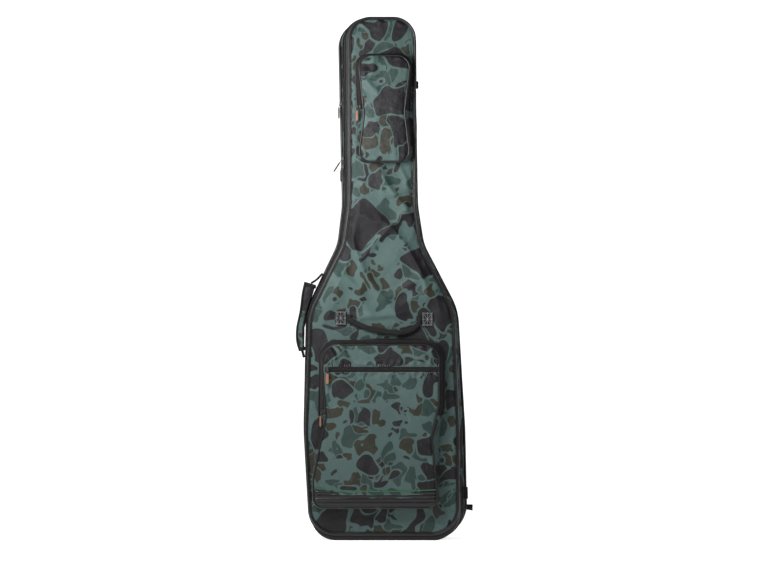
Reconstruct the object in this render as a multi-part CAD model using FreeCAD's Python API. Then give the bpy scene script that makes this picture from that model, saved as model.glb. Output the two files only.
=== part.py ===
import FreeCAD, Part
import math
import os

# A padded gig bag for a bass guitar, standing upright on its bottom. Millimetres.
# +X is to the right as the bag is seen from the front, +Y from the front panel to the
# back panel, +Z up. The origin is on the floor, under the middle of the bag, in the
# plane where the main zip parts.

V = FreeCAD.Vector

# ---- Driving dimensions ----
FRONT_Y = -55.0            # outer face of the front panel
BACK_Y = 55.0              # outer face of the back panel
FRONT_PAD = 6.0            # padded thickness of the front panel
BACK_PAD = 8.0
GUSSET_PAD = 6.0           # padded side wall
TAPE_WALL = 3.0            # zip tape and unpadded webbing wall
LINING = 2.0
PIPING_R = 3.2
ZIP_FRONT_Y = -0.9         # the main zip parts between these two depths
ZIP_BACK_Y = -0.1
ZIP_TAPE_WIDTH = 14.0

# The front panel, one corner per line: half width, height, corner radius.
# The outline is the same on both sides, apart from SETTLE at the two bottom corners.
BOTTOM_CORNER = (172.0, 19.5, 60.0)
BODY_SIDE = (177.5, 260.0, 500.0)
SHOULDER = (166.0, 545.0, 130.0)
NECK_FOOT = (87.0, 703.0, 130.0)
NECK = (73.8, 800.0, 250.0)
TOP_CORNER = (74.5, 1241.5, 47.0)
HALF_OUTLINE = [BOTTOM_CORNER, BODY_SIDE, SHOULDER, NECK_FOOT, NECK, TOP_CORNER]
SETTLE = 6.0               # the soft bottom has settled this far to the right

# Depth stations: y, how far the walls stand out past the front outline, the share of
# the twist there, and the heights of the bottom and the top. The bottom runs a little
# below the floor, where a flat cut makes the surface that the bag stands on.
STATIONS = [(-55.0, 0.0, 0.0, 19.5, 1241.5), (-42.0, 3.0, 0.12, -0.3, 1244.0),
            (0.0, 12.5, 0.5, -0.3, 1249.5), (40.0, 12.5, 0.86, -0.3, 1248.0),
            (55.0, 12.0, 1.0, 7.0, 1242.0)]
TWIST_FOOT = 11.0          # sideways shift of the back panel at the floor
TWIST_RATE = 22.0 / 1116.0  # and how fast that falls with height

# The main zip opens the bag from its lower right, round the bottom, up the left side and
# over the top. Between its two ends the right-hand wall is the hinge of the lid.
NECK_SEAM = 742.0
ZIP_END_LOW = 122.0
ZIP_END_HIGH = 1087.0

# Main pocket: corners of its base on the front panel, and of its face.
POCKET_DEPTH = 32.0
POCKET_FACE = 3.0
POCKET_HINGE_Z = 300.0
POCKET_BASE = [(-165, 78, 24), (134, 78, 24), (135, 125, 90), (139, 255, 60), (147.6, 330, 80),
               (147.6, 480, 42), (-147.6, 480, 42), (-147.6, 400, 120), (-150, 295, 60),
               (-166, 150, 90)]
POCKET_OUTLINE = [(-161, 83, 22), (129, 83, 22), (128.5, 125, 90), (116.5, 255, 60),
                  (134, 330, 80), (134.5, 467, 36), (-139, 467, 36), (-139, 400, 120),
                  (-131, 295, 60), (-162, 150, 90)]
GUARD_TOP = 124.0
GUARD_THICKNESS = 2.4
SLIT_Z = 409.5
SLIT_WIDTH = 12.0

# Headstock pocket, the same way.
HEAD_DEPTH = 27.0
HEAD_HINGE_Z = 1025.0
HEAD_BASE = [(-64, 900, 25), (70, 900, 25), (65, 1015, 200), (70, 1157, 30),
             (-64, 1157, 30), (-58, 1015, 200)]
HEAD_OUTLINE = [(-55, 903, 24), (66, 903, 24), (52, 1018, 90), (67, 1152, 28),
                (-56, 1152, 28), (-41, 1012, 90)]

# Zip sliders: width across the zip, length along it, thickness, and the pull tab.
SLIDER = (9.0, 12.0, 4.0)
BRIDGE = (3.0, 8.0, 2.6)
PULL = (8.0, 31.0, 2.2)

os.makedirs("parts", exist_ok=True)


def save(name, shape):
    shape.exportStep("parts/" + name + ".step")


def save_in_two(name, shape):
    """The walls and the back are sewn from a body part and a neck part."""
    save(name, shape.common(below(NECK_SEAM)))
    save(name + "_neck", shape.common(above(NECK_SEAM)))


# ---- Outlines ----

def unit(x, z):
    length = math.hypot(x, z)
    return x / length, z / length


def grow_outline(corners, distance):
    """Move every side of a counter-clockwise outline outwards, keeping its arcs parallel."""
    grown = []
    count = len(corners)
    for i, (x, z, radius) in enumerate(corners):
        before = corners[i - 1]
        after = corners[(i + 1) % count]
        ax, az = unit(x - before[0], z - before[1])
        bx, bz = unit(after[0] - x, after[1] - z)
        turn = ax * bz - az * bx
        # the corner moves along the bisector of the two sides' outward normals
        nx, nz = az + bz, -ax - bx
        share = 2.0 / (nx * nx + nz * nz)
        new_radius = radius + distance if turn > 0 else radius - distance
        grown.append((x + nx * share * distance, z + nz * share * distance, new_radius))
    return grown


def outline_wire(corners, y):
    """A closed wire in the plane y: straight sides joined by tangent arcs."""
    edges = []
    count = len(corners)
    ends = []
    for i, (x, z, radius) in enumerate(corners):
        before = corners[i - 1]
        after = corners[(i + 1) % count]
        ax, az = unit(x - before[0], z - before[1])
        bx, bz = unit(after[0] - x, after[1] - z)
        half_turn = 0.5 * math.acos(max(-1.0, min(1.0, ax * bx + az * bz)))
        reach = radius * math.tan(half_turn)
        ix, iz = unit(bx - ax, bz - az)
        inset = radius / math.cos(half_turn) - radius
        start = V(x - ax * reach, y, z - az * reach)
        middle = V(x + ix * inset, y, z + iz * inset)
        end = V(x + bx * reach, y, z + bz * reach)
        ends.append((start, middle, end))
    for i, (start, middle, end) in enumerate(ends):
        edges.append(Part.Arc(start, middle, end).toShape())
        edges.append(Part.LineSegment(end, ends[(i + 1) % count][0]).toShape())
    return Part.Wire(edges)


TOP_RIGHT = len(HALF_OUTLINE) - 1
TOP_LEFT = TOP_RIGHT + 1
NECK_LEFT = TOP_LEFT + 1


def front_outline():
    right = [(x, z, r) for x, z, r in HALF_OUTLINE]
    left = [(-x, z, r) for x, z, r in reversed(HALF_OUTLINE)]
    corners = right + left
    corners[0] = (corners[0][0] + SETTLE, corners[0][1], corners[0][2])
    corners[-1] = (corners[-1][0] + SETTLE, corners[-1][1], corners[-1][2])
    return corners


def station(y):
    """Flare, share of the twist, and the bottom's and top's heights at depth y."""
    for (y0, *low), (y1, *high) in zip(STATIONS, STATIONS[1:]):
        if y <= y1:
            t = (y - y0) / (y1 - y0)
            return [a + (b - a) * t for a, b in zip(low, high)]
    return list(STATIONS[-1][1:])


def twist(z):
    return TWIST_FOOT - TWIST_RATE * z


def bag_corners(y, grow=0.0):
    """Corners of the bag's outer surface at depth y, moved out by grow."""
    flare, share, bottom, top = station(y)
    corners = grow_outline(front_outline(), flare + grow)
    corners = [(x + share * twist(z), z, r) for x, z, r in corners]
    for low, high in ((0, TOP_RIGHT), (-1, TOP_LEFT)):
        x, _, r = corners[low]
        corners[low] = (x, bottom - grow, r)
        x, _, r = corners[high]
        corners[high] = (x, top + grow, r)
    return corners


def bag_wire(y, grow=0.0):
    return outline_wire(bag_corners(y, grow), y)


FAR = 400.0


def box(low, high):
    size = [b - a for a, b in zip(low, high)]
    return Part.makeBox(size[0], size[1], size[2], V(*low))


UNDER_FLOOR = box((-FAR, -FAR, -50.0), (FAR, FAR, 0.0))


def loft(wires):
    return Part.makeLoft(wires, True, True)


def plate(corners, y0, y1):
    face = Part.Face(outline_wire(corners, y0))
    return face.extrude(V(0, y1 - y0, 0))


def bag_ring(ys, wall, outset=0.0):
    """A wall of the bag that follows its outline between the depths ys."""
    outer = loft([bag_wire(y, outset) for y in ys])
    inner = loft([bag_wire(y, outset - wall) for y in ys])
    return outer.cut(inner).cut(UNDER_FLOOR)


def tube_round(corners, y, radius):
    """Piping: a round cord that follows a closed outline."""
    path = outline_wire(corners, y)
    first = path.Edges[1]
    start = first.valueAt(first.FirstParameter)
    tangent = first.tangentAt(first.FirstParameter)
    circle = Part.Wire([Part.makeCircle(radius, start, tangent)])
    pipe = Part.BRepOffsetAPI.MakePipeShell(Part.Wire(Part.__sortEdges__(
        path.Edges[1:] + path.Edges[:1])))
    pipe.add(circle)
    pipe.build()
    return Part.Solid(Part.Shell(pipe.shape().Faces))


HINGE_SIDE = box((0, -FAR, ZIP_END_LOW), (FAR, FAR, ZIP_END_HIGH))


def above(z):
    return box((-FAR, -FAR, z), (FAR, FAR, 2000.0))


def below(z):
    return box((-FAR, -FAR, -100.0), (FAR, FAR, z))


# ---- The shell ----
FRONT_INNER_Y = FRONT_Y + FRONT_PAD
BACK_INNER_Y = BACK_Y - BACK_PAD
TAPE_FRONT_Y = ZIP_FRONT_Y - ZIP_TAPE_WIDTH
TAPE_BACK_Y = ZIP_BACK_Y + ZIP_TAPE_WIDTH
FLARE_FRONT_Y = -42.0
FLARE_BACK_Y = 40.0


def make_shell():
    save_in_two("back_panel", plate(bag_corners(BACK_Y), BACK_INNER_Y, BACK_Y))
    save("back_piping", tube_round(bag_corners(BACK_Y, PIPING_R + 0.3), BACK_Y - 4.0, PIPING_R))
    back_wall = bag_ring([TAPE_BACK_Y, FLARE_BACK_Y, BACK_INNER_Y], GUSSET_PAD)
    save_in_two("gusset_rear", back_wall)
    lining_room = bag_corners(BACK_INNER_Y, -GUSSET_PAD - 1.0)
    save("back_lining", plate(lining_room, BACK_INNER_Y - LINING, BACK_INNER_Y))

    rear_tape = bag_ring([ZIP_BACK_Y, TAPE_BACK_Y], TAPE_WALL)
    save_in_two("main_zip_rear_tape", rear_tape.cut(HINGE_SIDE))
    gap = 0.5
    hinge = bag_ring([FRONT_INNER_Y, FLARE_FRONT_Y, 0.0, TAPE_BACK_Y], TAPE_WALL)
    hinge_room = box((0, -FAR, ZIP_END_LOW + gap), (FAR, FAR, ZIP_END_HIGH - gap))
    save("hinge_gusset", hinge.common(hinge_room))


def make_lid():
    save("front_panel", plate(bag_corners(FRONT_Y), FRONT_Y, FRONT_INNER_Y))
    save("front_piping", tube_round(bag_corners(FRONT_Y, PIPING_R + 0.3), FRONT_Y + 2.7, PIPING_R))
    wall = bag_ring([FRONT_INNER_Y, FLARE_FRONT_Y, TAPE_FRONT_Y], TAPE_WALL)
    save_in_two("front_gusset", wall.cut(HINGE_SIDE))
    tape = bag_ring([TAPE_FRONT_Y, ZIP_FRONT_Y], TAPE_WALL)
    save_in_two("main_zip_front_tape", tape.cut(HINGE_SIDE))
    lining_room = bag_corners(FRONT_INNER_Y, -TAPE_WALL - 5.0)
    save("lid_lining", plate(lining_room, FRONT_INNER_Y, FRONT_INNER_Y + LINING))


def make_zip_tabs():
    """Folded webbing over each end of the main zip, on the back half of the zip."""
    tabs = [("zip_tab_upper", ZIP_END_HIGH - 6.0, ZIP_END_HIGH + 12.0, 6.0),
            ("zip_tab_lower", ZIP_END_LOW - 27.0, ZIP_END_LOW + 2.0, 11.0)]
    for name, low, high, reach in tabs:
        strip = bag_ring([1.6, 11.6], reach, reach + 0.3)
        save(name, strip.common(box((0, -FAR, low), (FAR, FAR, high))))


# ---- Inside ----
END_PAD_TOP = 40.0
BLOCK_Z = (700.0, 758.0)
BLOCK_HALF = 46.0
BLOCK_Y = (16.0, BACK_INNER_Y - LINING)
NOTCH_R = 26.0
STRAP_T = 2.5


def make_inside():
    room = [bag_wire(y, -GUSSET_PAD - 0.5) for y in (TAPE_BACK_Y, FLARE_BACK_Y)]
    save("end_pad", loft(room).common(below(END_PAD_TOP)))
    block = box((-BLOCK_HALF, BLOCK_Y[0], BLOCK_Z[0]), (BLOCK_HALF, BLOCK_Y[1], BLOCK_Z[1]))
    notch = Part.makeCylinder(NOTCH_R, 200.0, V(0, BLOCK_Y[0], BLOCK_Z[0] - 50.0), V(0, 0, 1))
    save("neck_block", block.cut(notch))
    mid = 0.5 * (BLOCK_Z[0] + BLOCK_Z[1])
    for name, side in (("left", -1), ("right", 1)):
        x0, x1 = sorted((side * 0.6, side * (BLOCK_HALF + 3.0)))
        strap = box((x0, BLOCK_Y[0] - STRAP_T - 0.3, mid - 13.0), (x1, BLOCK_Y[0] - 0.3, mid + 13.0))
        save("neck_strap_" + name, strap)


# ---- Pockets on the lid ----
PANEL_GAP = 0.1
POCKET_FRONT_Y = FRONT_Y - POCKET_DEPTH
HEAD_FRONT_Y = FRONT_Y - HEAD_DEPTH


def pocket_wall(base, outline, front_y):
    back_y = FRONT_Y - PANEL_GAP
    outer = loft([outline_wire(outline, front_y), outline_wire(base, back_y)])
    inner = loft([outline_wire(grow_outline(outline, -TAPE_WALL), front_y),
                  outline_wire(grow_outline(base, -TAPE_WALL), back_y)])
    return outer.cut(inner)


def make_pocket(prefix, flap_name, base, outline, front_y, hinge_z):
    """A pocket whose face opens above hinge_z, where its zip runs round the wall."""
    wall = pocket_wall(base, outline, front_y)
    save(prefix + "_gusset", wall.common(below(hinge_z)))
    save(prefix + "_zip", wall.common(above(hinge_z + 0.4)))
    face = plate(outline, front_y, front_y - POCKET_FACE)
    save(prefix + "_face", face.common(below(hinge_z)))
    save(flap_name, face.common(above(hinge_z + 0.6)))


def make_pockets():
    make_pocket("main_pocket", "main_flap_panel", POCKET_BASE, POCKET_OUTLINE,
                POCKET_FRONT_Y, POCKET_HINGE_Z)
    make_pocket("headstock_pocket", "headstock_flap_panel", HEAD_BASE, HEAD_OUTLINE,
                HEAD_FRONT_Y, HEAD_HINGE_Z)
    face_y = POCKET_FRONT_Y - POCKET_FACE
    guard = plate(grow_outline(POCKET_OUTLINE, -1.0), face_y, face_y - GUARD_THICKNESS)
    save("pocket_guard", guard.common(below(GUARD_TOP)))
    trim_r = 1.3
    trim = Part.makeCylinder(trim_r, 286.0, V(-159.0, face_y - trim_r - 0.1, GUARD_TOP + 2.0), V(1, 0, 0))
    save("guard_trim", trim)
    half = SLIT_WIDTH / 2
    save("slit_zip", box((-135.5, face_y - 1.5, SLIT_Z - half), (133.5, face_y, SLIT_Z + half)))


# ---- Zip sliders and pulls ----
# Each is made facing -Y with its back at y = 0 and its middle at the origin, then turned
# about Z to face the way its zip faces, and moved to its place on the zip.

BODY_ROUNDING = 1.4
BRIDGE_POST = 1.8          # each foot of the bridge, along the zip
PULL_ROUNDING = 2.2
# The pull swings about a pin just in front of the foot of the bridge.
PIN_OUT = SLIDER[2] + BRIDGE[2] + 0.9
PIN_DOWN = BRIDGE[1] / 2 + 0.5


def round_corners(block, radius):
    """Round the four edges of a flat block that run along Y."""
    edges = [e for e in block.Edges if abs(e.tangentAt(e.FirstParameter).y) > 0.9]
    return block.makeFillet(radius, edges)


def slider_body():
    w, length, t = SLIDER
    body = round_corners(box((-w / 2, -t, -length / 2), (w / 2, 0, length / 2)), BODY_ROUNDING)
    bw, bl, bt = BRIDGE
    post = BRIDGE_POST
    bridge = box((-bw / 2, -t - bt, -bl / 2), (bw / 2, -t, bl / 2))
    eye = box((-bw, -t - bt + 1.0, -bl / 2 + post), (bw, -t + 0.01, bl / 2 - post))
    return body.fuse(bridge.cut(eye)).removeSplitter()


def pull_tab():
    """A flat tab that hangs just below the bridge."""
    w, length, t = PULL
    top = -PIN_DOWN - 0.4
    front = -PIN_OUT - t / 2
    return round_corners(box((-w / 2, front, top - length), (w / 2, front + t, top)), PULL_ROUNDING)


def place(shape, spot, turn):
    """Turn about Z by turn degrees and move to spot."""
    placed = shape.copy()
    placed.rotate(V(0, 0, 0), V(0, 0, 1), turn)
    placed.translate(V(*spot))
    return placed


def swung_pull(swing):
    """The pull tab swung away from its zip by swing degrees about its pin."""
    tab = pull_tab()
    tab.rotate(V(0, -PIN_OUT, -PIN_DOWN), V(1, 0, 0), -swing)
    return tab


def left_edge(y, z):
    """x of the bag's left outer surface on the straight neck at depth y and height z."""
    corners = bag_corners(y)
    top, neck = corners[TOP_LEFT], corners[NECK_LEFT]
    t = (z - neck[1]) / (top[1] - neck[1])
    return neck[0] + (top[0] - neck[0]) * t


STAND_OFF = 1.8
FACING_LEFT = -90.0
BACK_ZIP_Y = 43.0
# name, spot, turn about Z, swing of the pull
SLIDERS = [
    ("upper_main", (left_edge(0, 912.0) - STAND_OFF, 0.0, 912.0), FACING_LEFT, 32.0),
    ("lower_main", (left_edge(0, 893.0) - STAND_OFF, 0.0, 893.0), FACING_LEFT, 0.0),
    ("back", (left_edge(BACK_ZIP_Y, 1047.0) - STAND_OFF, BACK_ZIP_Y, 1047.0), FACING_LEFT, 0.0),
    ("headstock", (-54.0, -72.0, 1033.0), -52.0, 0.0),
    ("flap", (-139.5, -76.0, 308.0), -62.0, 0.0),
    ("slit", (-129.5, -93.5, SLIT_Z), 0.0, 0.0),
]
BACK_CHAIN = 2.5           # half width of the back zip's chain
BACK_ZIP_ENDS = (830.0, 1095.0)


def make_sliders():
    for name, spot, turn, swing in SLIDERS:
        save(name + "_slider", place(slider_body(), spot, turn))
        save(name + "_pull", place(swung_pull(swing), spot, turn))
    chain = bag_ring([BACK_ZIP_Y - BACK_CHAIN, BACK_ZIP_Y + BACK_CHAIN], 1.2, 1.3)
    low, high = BACK_ZIP_ENDS
    save("back_zip", chain.common(box((-FAR, -FAR, low), (0, FAR, high))))


# ---- Webbing ----

def ribbon(stations):
    """A strap through stations of (centre, across, out): half vectors of its section."""
    wires = []
    for centre, across, out in stations:
        c, a, o = V(*centre), V(*across), V(*out)
        ring = [c - a - o, c + a - o, c + a + o, c - a + o]
        wires.append(Part.makePolygon(ring + ring[:1]))
    return loft(wires)


HANDLE_HALF_WIDTH = 5.5
HANDLE_HALF_THICKNESS = 3.0
HANDLE_ROUTE = [(-82.0, 531.0, -62.5), (-71.0, 524.0, -64.0), (-40.0, 509.0, -66.0),
                (-5.0, 501.0, -67.0), (31.0, 496.5, -67.0), (55.0, 498.0, -66.0),
                (78.0, 508.0, -64.5), (92.0, 528.0, -62.5)]
PATCH_THICKNESS = 2.1
PATCHES = [(-112.0, -84.0, 513.0, 549.0), (94.0, 122.0, 510.0, 546.0)]


def make_front_handle():
    stations = []
    half = HANDLE_HALF_WIDTH
    for i, (x, z, y) in enumerate(HANDLE_ROUTE):
        x0, z0, _ = HANDLE_ROUTE[max(i - 1, 0)]
        x1, z1, _ = HANDLE_ROUTE[min(i + 1, len(HANDLE_ROUTE) - 1)]
        tx, tz = unit(x1 - x0, z1 - z0)
        stations.append(((x, y, z), (-tz * half, 0, tx * half),
                         (0, HANDLE_HALF_THICKNESS, 0)))
    save("front_handle_webbing", ribbon(stations))
    back = FRONT_Y - PANEL_GAP
    front = back - PATCH_THICKNESS
    patches = [box((x0, front, z0), (x1, back, z1)) for x0, x1, z0, z1 in PATCHES]
    save("handle_patches", Part.makeCompound(patches))


SIDE_Y = 30.0
GRIP_HALF_WIDTH = 14.0
# height, x of the middle, half thickness
GRIP_ROUTE = [(611.0, -173.0, 13.5), (585.0, -180.3, 11.7), (545.0, -188.7, 8.3),
              (505.0, -196.2, 8.8), (475.0, -196.2, 8.8), (453.0, -193.0, 6.0)]


def make_side_handle():
    stations = [((x, SIDE_Y, z), (0, GRIP_HALF_WIDTH, 0), (half, 0, 0)) for z, x, half in GRIP_ROUTE]
    save("side_handle_grip", ribbon(stations))
    flat = (0, 11.0, 0)
    top = ribbon([((-172.0, SIDE_Y, 613.6), flat, (1.4, 0, 1.0)),
                  ((-158.0, SIDE_Y, 622.0), flat, (1.0, 0, 1.4)),
                  ((-143.5, SIDE_Y, 637.0), flat, (1.2, 0, 1.2))])
    foot = ribbon([((-193.0, SIDE_Y, 452.6), flat, (1.4, 0, 0)),
                   ((-190.0, SIDE_Y, 442.0), flat, (1.4, 0, 0)),
                   ((-188.5, SIDE_Y, 434.5), flat, (1.4, 0, 0))])
    save("side_handle_webbing", Part.makeCompound([top, foot]))
    wall = bag_ring([SIDE_Y - 11.0, SIDE_Y + 8.0], 2.0, 2.2)
    upper = wall.common(box((-FAR, -FAR, 640.0), (0, FAR, 676.0)))
    lower = wall.common(box((-FAR, -FAR, 404.0), (0, FAR, 433.0)))
    save("side_handle_anchors", Part.makeCompound([upper, lower]))


# Shoulder straps: x, y, z of the middle line, half width and half thickness.
PAD_ROUTE = [(-37.0, 72.0, 688.0, 20.0, 3.0), (-48.0, 88.0, 640.0, 30.0, 5.5),
             (-66.0, 100.0, 560.0, 31.0, 6.0), (-88.0, 106.0, 470.0, 31.0, 6.0),
             (-108.0, 103.0, 390.0, 30.0, 5.5), (-120.0, 96.0, 335.0, 20.0, 4.0)]
ADJUSTER_SPOT = (-126.5, 91.0, 308.0)
LOWER_ROUTE = [(-131.0, 88.0, 291.0, 12.5, 1.2), (-141.0, 83.0, 240.0, 12.5, 1.2),
               (-152.0, 74.0, 170.0, 12.5, 1.2), (-160.0, 63.5, 112.0, 12.5, 1.2)]
STUB_ROUTE = [(-34.0, 60.2, 715.0, 18.0, 1.3), (-35.5, 65.0, 700.0, 18.0, 1.3),
              (-36.4, 70.0, 693.0, 18.0, 1.3)]
ADJUSTER = (32.0, 5.0, 28.0)
ADJUSTER_SLOT = (25.0, 7.0)
TOP_PATCH = (62.0, 690.0, 742.0)          # half width, bottom, top
CORNER_TAB = (160.0, 20.0, 62.0, 108.0)   # middle, half width, bottom, top
# The end of the right corner's webbing sticks out sideways: x, z and half width.
TAIL = [(180.3, 73.0, 10.0), (206.0, 71.0, 7.0), (220.0, 69.5, 8.0)]


def strap_stations(route, side):
    """Sections of a strap that is hung behind the back panel, square to its own line."""
    stations = []
    for i, (x, y, z, half_width, half_thick) in enumerate(route):
        before = route[max(i - 1, 0)]
        after = route[min(i + 1, len(route) - 1)]
        along = V(side * (after[0] - before[0]), after[1] - before[1], after[2] - before[2]).normalize()
        across = V(0, 1, 0).cross(along).normalize()
        out = along.cross(across)
        stations.append(((side * x, y, z), tuple(across * half_width), tuple(out * half_thick)))
    return stations


def adjuster(side):
    """A flat ladder buckle with two slots, leaning with the strap."""
    w, t, h = ADJUSTER
    slot_w, slot_h = ADJUSTER_SLOT
    frame = box((-w / 2, -t / 2, -h / 2), (w / 2, t / 2, h / 2))
    for low in (-9.0, 2.0):
        frame = frame.cut(box((-slot_w / 2, -t, low), (slot_w / 2, t, low + slot_h)))
    frame.rotate(V(0, 0, 0), V(1, 0, 0), -10.0)
    frame.rotate(V(0, 0, 0), V(0, 1, 0), side * 11.0)
    x, y, z = ADJUSTER_SPOT
    frame.translate(V(side * x, y, z))
    return frame


def make_shoulder_straps():
    for name, side in (("left", 1), ("right", -1)):
        save(name + "_strap_pad", ribbon(strap_stations(PAD_ROUTE, side)))
        save(name + "_strap_webbing", ribbon(strap_stations(LOWER_ROUTE, side)))
        save(name + "_strap_adjuster", adjuster(side))
    behind = BACK_Y + PANEL_GAP
    half, low, high = TOP_PATCH
    save("strap_top_patch", box((-half, behind, low), (half, behind + 3.0, high)))
    stubs = [ribbon(strap_stations(STUB_ROUTE, side)) for side in (1, -1)]
    save("strap_top_webbing", Part.makeCompound(stubs))
    tabs = []
    x, half, low, high = CORNER_TAB
    for side in (1, -1):
        tabs.append(box((side * x - half, behind, low), (side * x + half, behind + 4.9, high)))
    tabs.append(ribbon([((tx, behind + 2.5, tz), (0, 0, wide), (0, 1.3, 0)) for tx, tz, wide in TAIL]))
    save("strap_corner_tabs", Part.makeCompound(tabs))


make_shell()
make_lid()
make_zip_tabs()
make_inside()
make_pockets()
make_sliders()
make_front_handle()
make_side_handle()
make_shoulder_straps()
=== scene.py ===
import math

import bpy
import numpy as np
from mathutils import Matrix, Vector, kdtree, noise


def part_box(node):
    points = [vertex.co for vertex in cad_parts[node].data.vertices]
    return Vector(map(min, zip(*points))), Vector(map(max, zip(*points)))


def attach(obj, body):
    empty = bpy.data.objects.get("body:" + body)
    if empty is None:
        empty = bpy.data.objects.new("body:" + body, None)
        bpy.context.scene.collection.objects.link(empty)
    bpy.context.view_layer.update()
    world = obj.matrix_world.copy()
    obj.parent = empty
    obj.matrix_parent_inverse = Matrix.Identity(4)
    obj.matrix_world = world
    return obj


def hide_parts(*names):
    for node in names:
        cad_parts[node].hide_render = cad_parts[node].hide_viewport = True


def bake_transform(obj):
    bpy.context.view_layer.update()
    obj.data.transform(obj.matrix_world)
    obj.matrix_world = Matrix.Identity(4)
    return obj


# A padded gig bag for a bass guitar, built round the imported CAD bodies. Metres, +Z up,
# +X to the right as seen from the front and +Y towards the back panel.

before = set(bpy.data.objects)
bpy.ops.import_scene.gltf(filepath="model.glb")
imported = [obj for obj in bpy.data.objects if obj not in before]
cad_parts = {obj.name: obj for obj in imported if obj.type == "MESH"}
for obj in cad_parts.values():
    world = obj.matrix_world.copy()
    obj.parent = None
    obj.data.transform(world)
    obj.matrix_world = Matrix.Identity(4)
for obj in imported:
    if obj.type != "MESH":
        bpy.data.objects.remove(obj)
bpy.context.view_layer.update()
scene = bpy.context.scene

X = np.array([1.0, 0.0, 0.0])
Y = np.array([0.0, 1.0, 0.0])
Z = np.array([0.0, 0.0, 1.0])


# ---- Camera, floor and light ----

VIEW_WIDTH = 1.8136        # what the picture takes in at the front panel
VIEW_DISTANCE = 6.0
EYE = (-0.0024, 0.6188)    # x and height of the lens
WORLD_STRENGTH = 0.25


def make_camera():
    data = bpy.data.cameras.new("camera")
    data.sensor_width = 36.0
    data.lens = data.sensor_width * VIEW_DISTANCE / VIEW_WIDTH
    data.clip_end = 50.0
    camera = bpy.data.objects.new("camera", data)
    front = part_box("front_panel")[0].y
    camera.location = (EYE[0], front - VIEW_DISTANCE, EYE[1])
    camera.rotation_euler = (math.radians(90.0), 0.0, 0.0)
    scene.collection.objects.link(camera)
    scene.camera = camera


def make_light(name, location, size, power, target=(0.0, 0.0, 0.6)):
    data = bpy.data.lights.new(name, "AREA")
    data.shape = "RECTANGLE"
    data.size, data.size_y = size
    data.energy = power
    light = bpy.data.objects.new(name, data)
    light.location = location
    aim = Vector(target) - Vector(location)
    light.rotation_euler = aim.to_track_quat("-Z", "Y").to_euler()
    scene.collection.objects.link(light)


def make_studio():
    world = bpy.data.worlds.new("studio")
    world.use_nodes = True
    background = world.node_tree.nodes["Background"]
    background.inputs["Color"].default_value = (1.0, 1.0, 1.0, 1.0)
    background.inputs["Strength"].default_value = WORLD_STRENGTH
    scene.world = world
    scene.view_settings.view_transform = "Standard"
    make_light("key", (-0.50, -0.80, 1.00), (0.4, 0.4), 20.0, (0.0, -0.05, 0.88))
    make_light("rim", (-1.9, -0.5, 1.1), (0.3, 1.4), 6.0, (-0.15, 0.0, 0.8))


# ---- Materials ----

class Shader:
    """A material under construction: a Principled shader and the nodes in front of it."""

    def __init__(self, name, colour, roughness, **fixed):
        self.material = bpy.data.materials.new(name)
        self.material.use_nodes = True
        self.tree = self.material.node_tree
        self.shader = self.tree.nodes["Principled BSDF"]
        self.shader.inputs["Base Color"].default_value = (*colour, 1.0)
        self.shader.inputs["Roughness"].default_value = roughness
        for socket, value in fixed.items():
            self.shader.inputs[socket.replace("_", " ")].default_value = value

    def node(self, kind, inputs=None, **settings):
        made = self.tree.nodes.new("ShaderNode" + kind)
        for key, value in settings.items():
            setattr(made, key, value)
        for key, value in (inputs or {}).items():
            if isinstance(value, bpy.types.NodeSocket):
                self.tree.links.new(value, made.inputs[key])
            else:
                made.inputs[key].default_value = value
        return made

    def math(self, operation, a, b=0.0):
        return self.node("Math", {0: a, 1: b}, operation=operation).outputs[0]

    def vector(self, operation, a, b):
        return self.node("VectorMath", {0: a, 1: b}, operation=operation).outputs[0]

    def mix(self, factor, a, b, blend="MIX"):
        made = self.node("MixRGB", {"Fac": factor, "Color1": a, "Color2": b}, blend_type=blend)
        return made.outputs[0]

    def place(self, rest=False):
        """Coordinates in metres that stay with the cloth."""
        if rest:
            return self.node("Attribute", attribute_name="rest").outputs["Vector"]
        return self.node("TexCoord").outputs["Object"]

    def noise(self, at, scale, detail=2.0, roughness=0.5):
        return self.node("TexNoise", {"Vector": at, "Scale": scale, "Detail": detail,
                                      "Roughness": roughness})

    def between(self, value, low, high, to_low=0.0, to_high=1.0):
        made = self.node("MapRange", {"Value": value, "From Min": low, "From Max": high,
                                      "To Min": to_low, "To Max": to_high})
        return made.outputs["Result"]

    def weave(self, at, pitch):
        """Height of a plain weave, from -1 to 1, whichever way the surface faces."""
        turned = self.vector("MULTIPLY", at, (math.pi / pitch,) * 3)
        parts = self.node("SeparateXYZ", {0: turned})
        sx, sy, sz = [self.math("SINE", parts.outputs[i]) for i in range(3)]
        first = self.math("ADD", self.math("MULTIPLY", sx, sz), self.math("MULTIPLY", sy, sz))
        return self.math("ADD", first, self.math("MULTIPLY", sx, sy))

    def bump(self, height, distance, strength=1.0, before=None):
        inputs = {"Height": height, "Distance": distance, "Strength": strength}
        if before is not None:
            inputs["Normal"] = before
        return self.node("Bump", inputs).outputs["Normal"]

    def set(self, socket, value):
        self.tree.links.new(value, self.shader.inputs[socket])


TEAL = (0.0368, 0.0650, 0.0608, 1.0)
GREEN = (0.0100, 0.0245, 0.0215, 1.0)
OLIVE = (0.0125, 0.0122, 0.0072, 1.0)
CHARCOAL = (0.0032, 0.0024, 0.0036, 1.0)
# Cell size and where in space; then, in cells, a blob's radius, its spread and the gap to the next.
SMALL_BLOBS = (0.038, (3.1, 1.7, 0.4), 0.535, 0.13, 0.035)
LARGE_BLOBS = (0.078, (1.9, 6.1, 8.8), 0.46, 0.10, 0.02)
OLIVE_FROM, DARK_FROM = 0.46, 0.82         # chances from which a small blob is olive or dark
LARGE_SHARE = 0.80                         # share of the large cells that hold a blob
RIM = (-0.085, -0.070)                     # clear ground round a large blob, in cells


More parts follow.
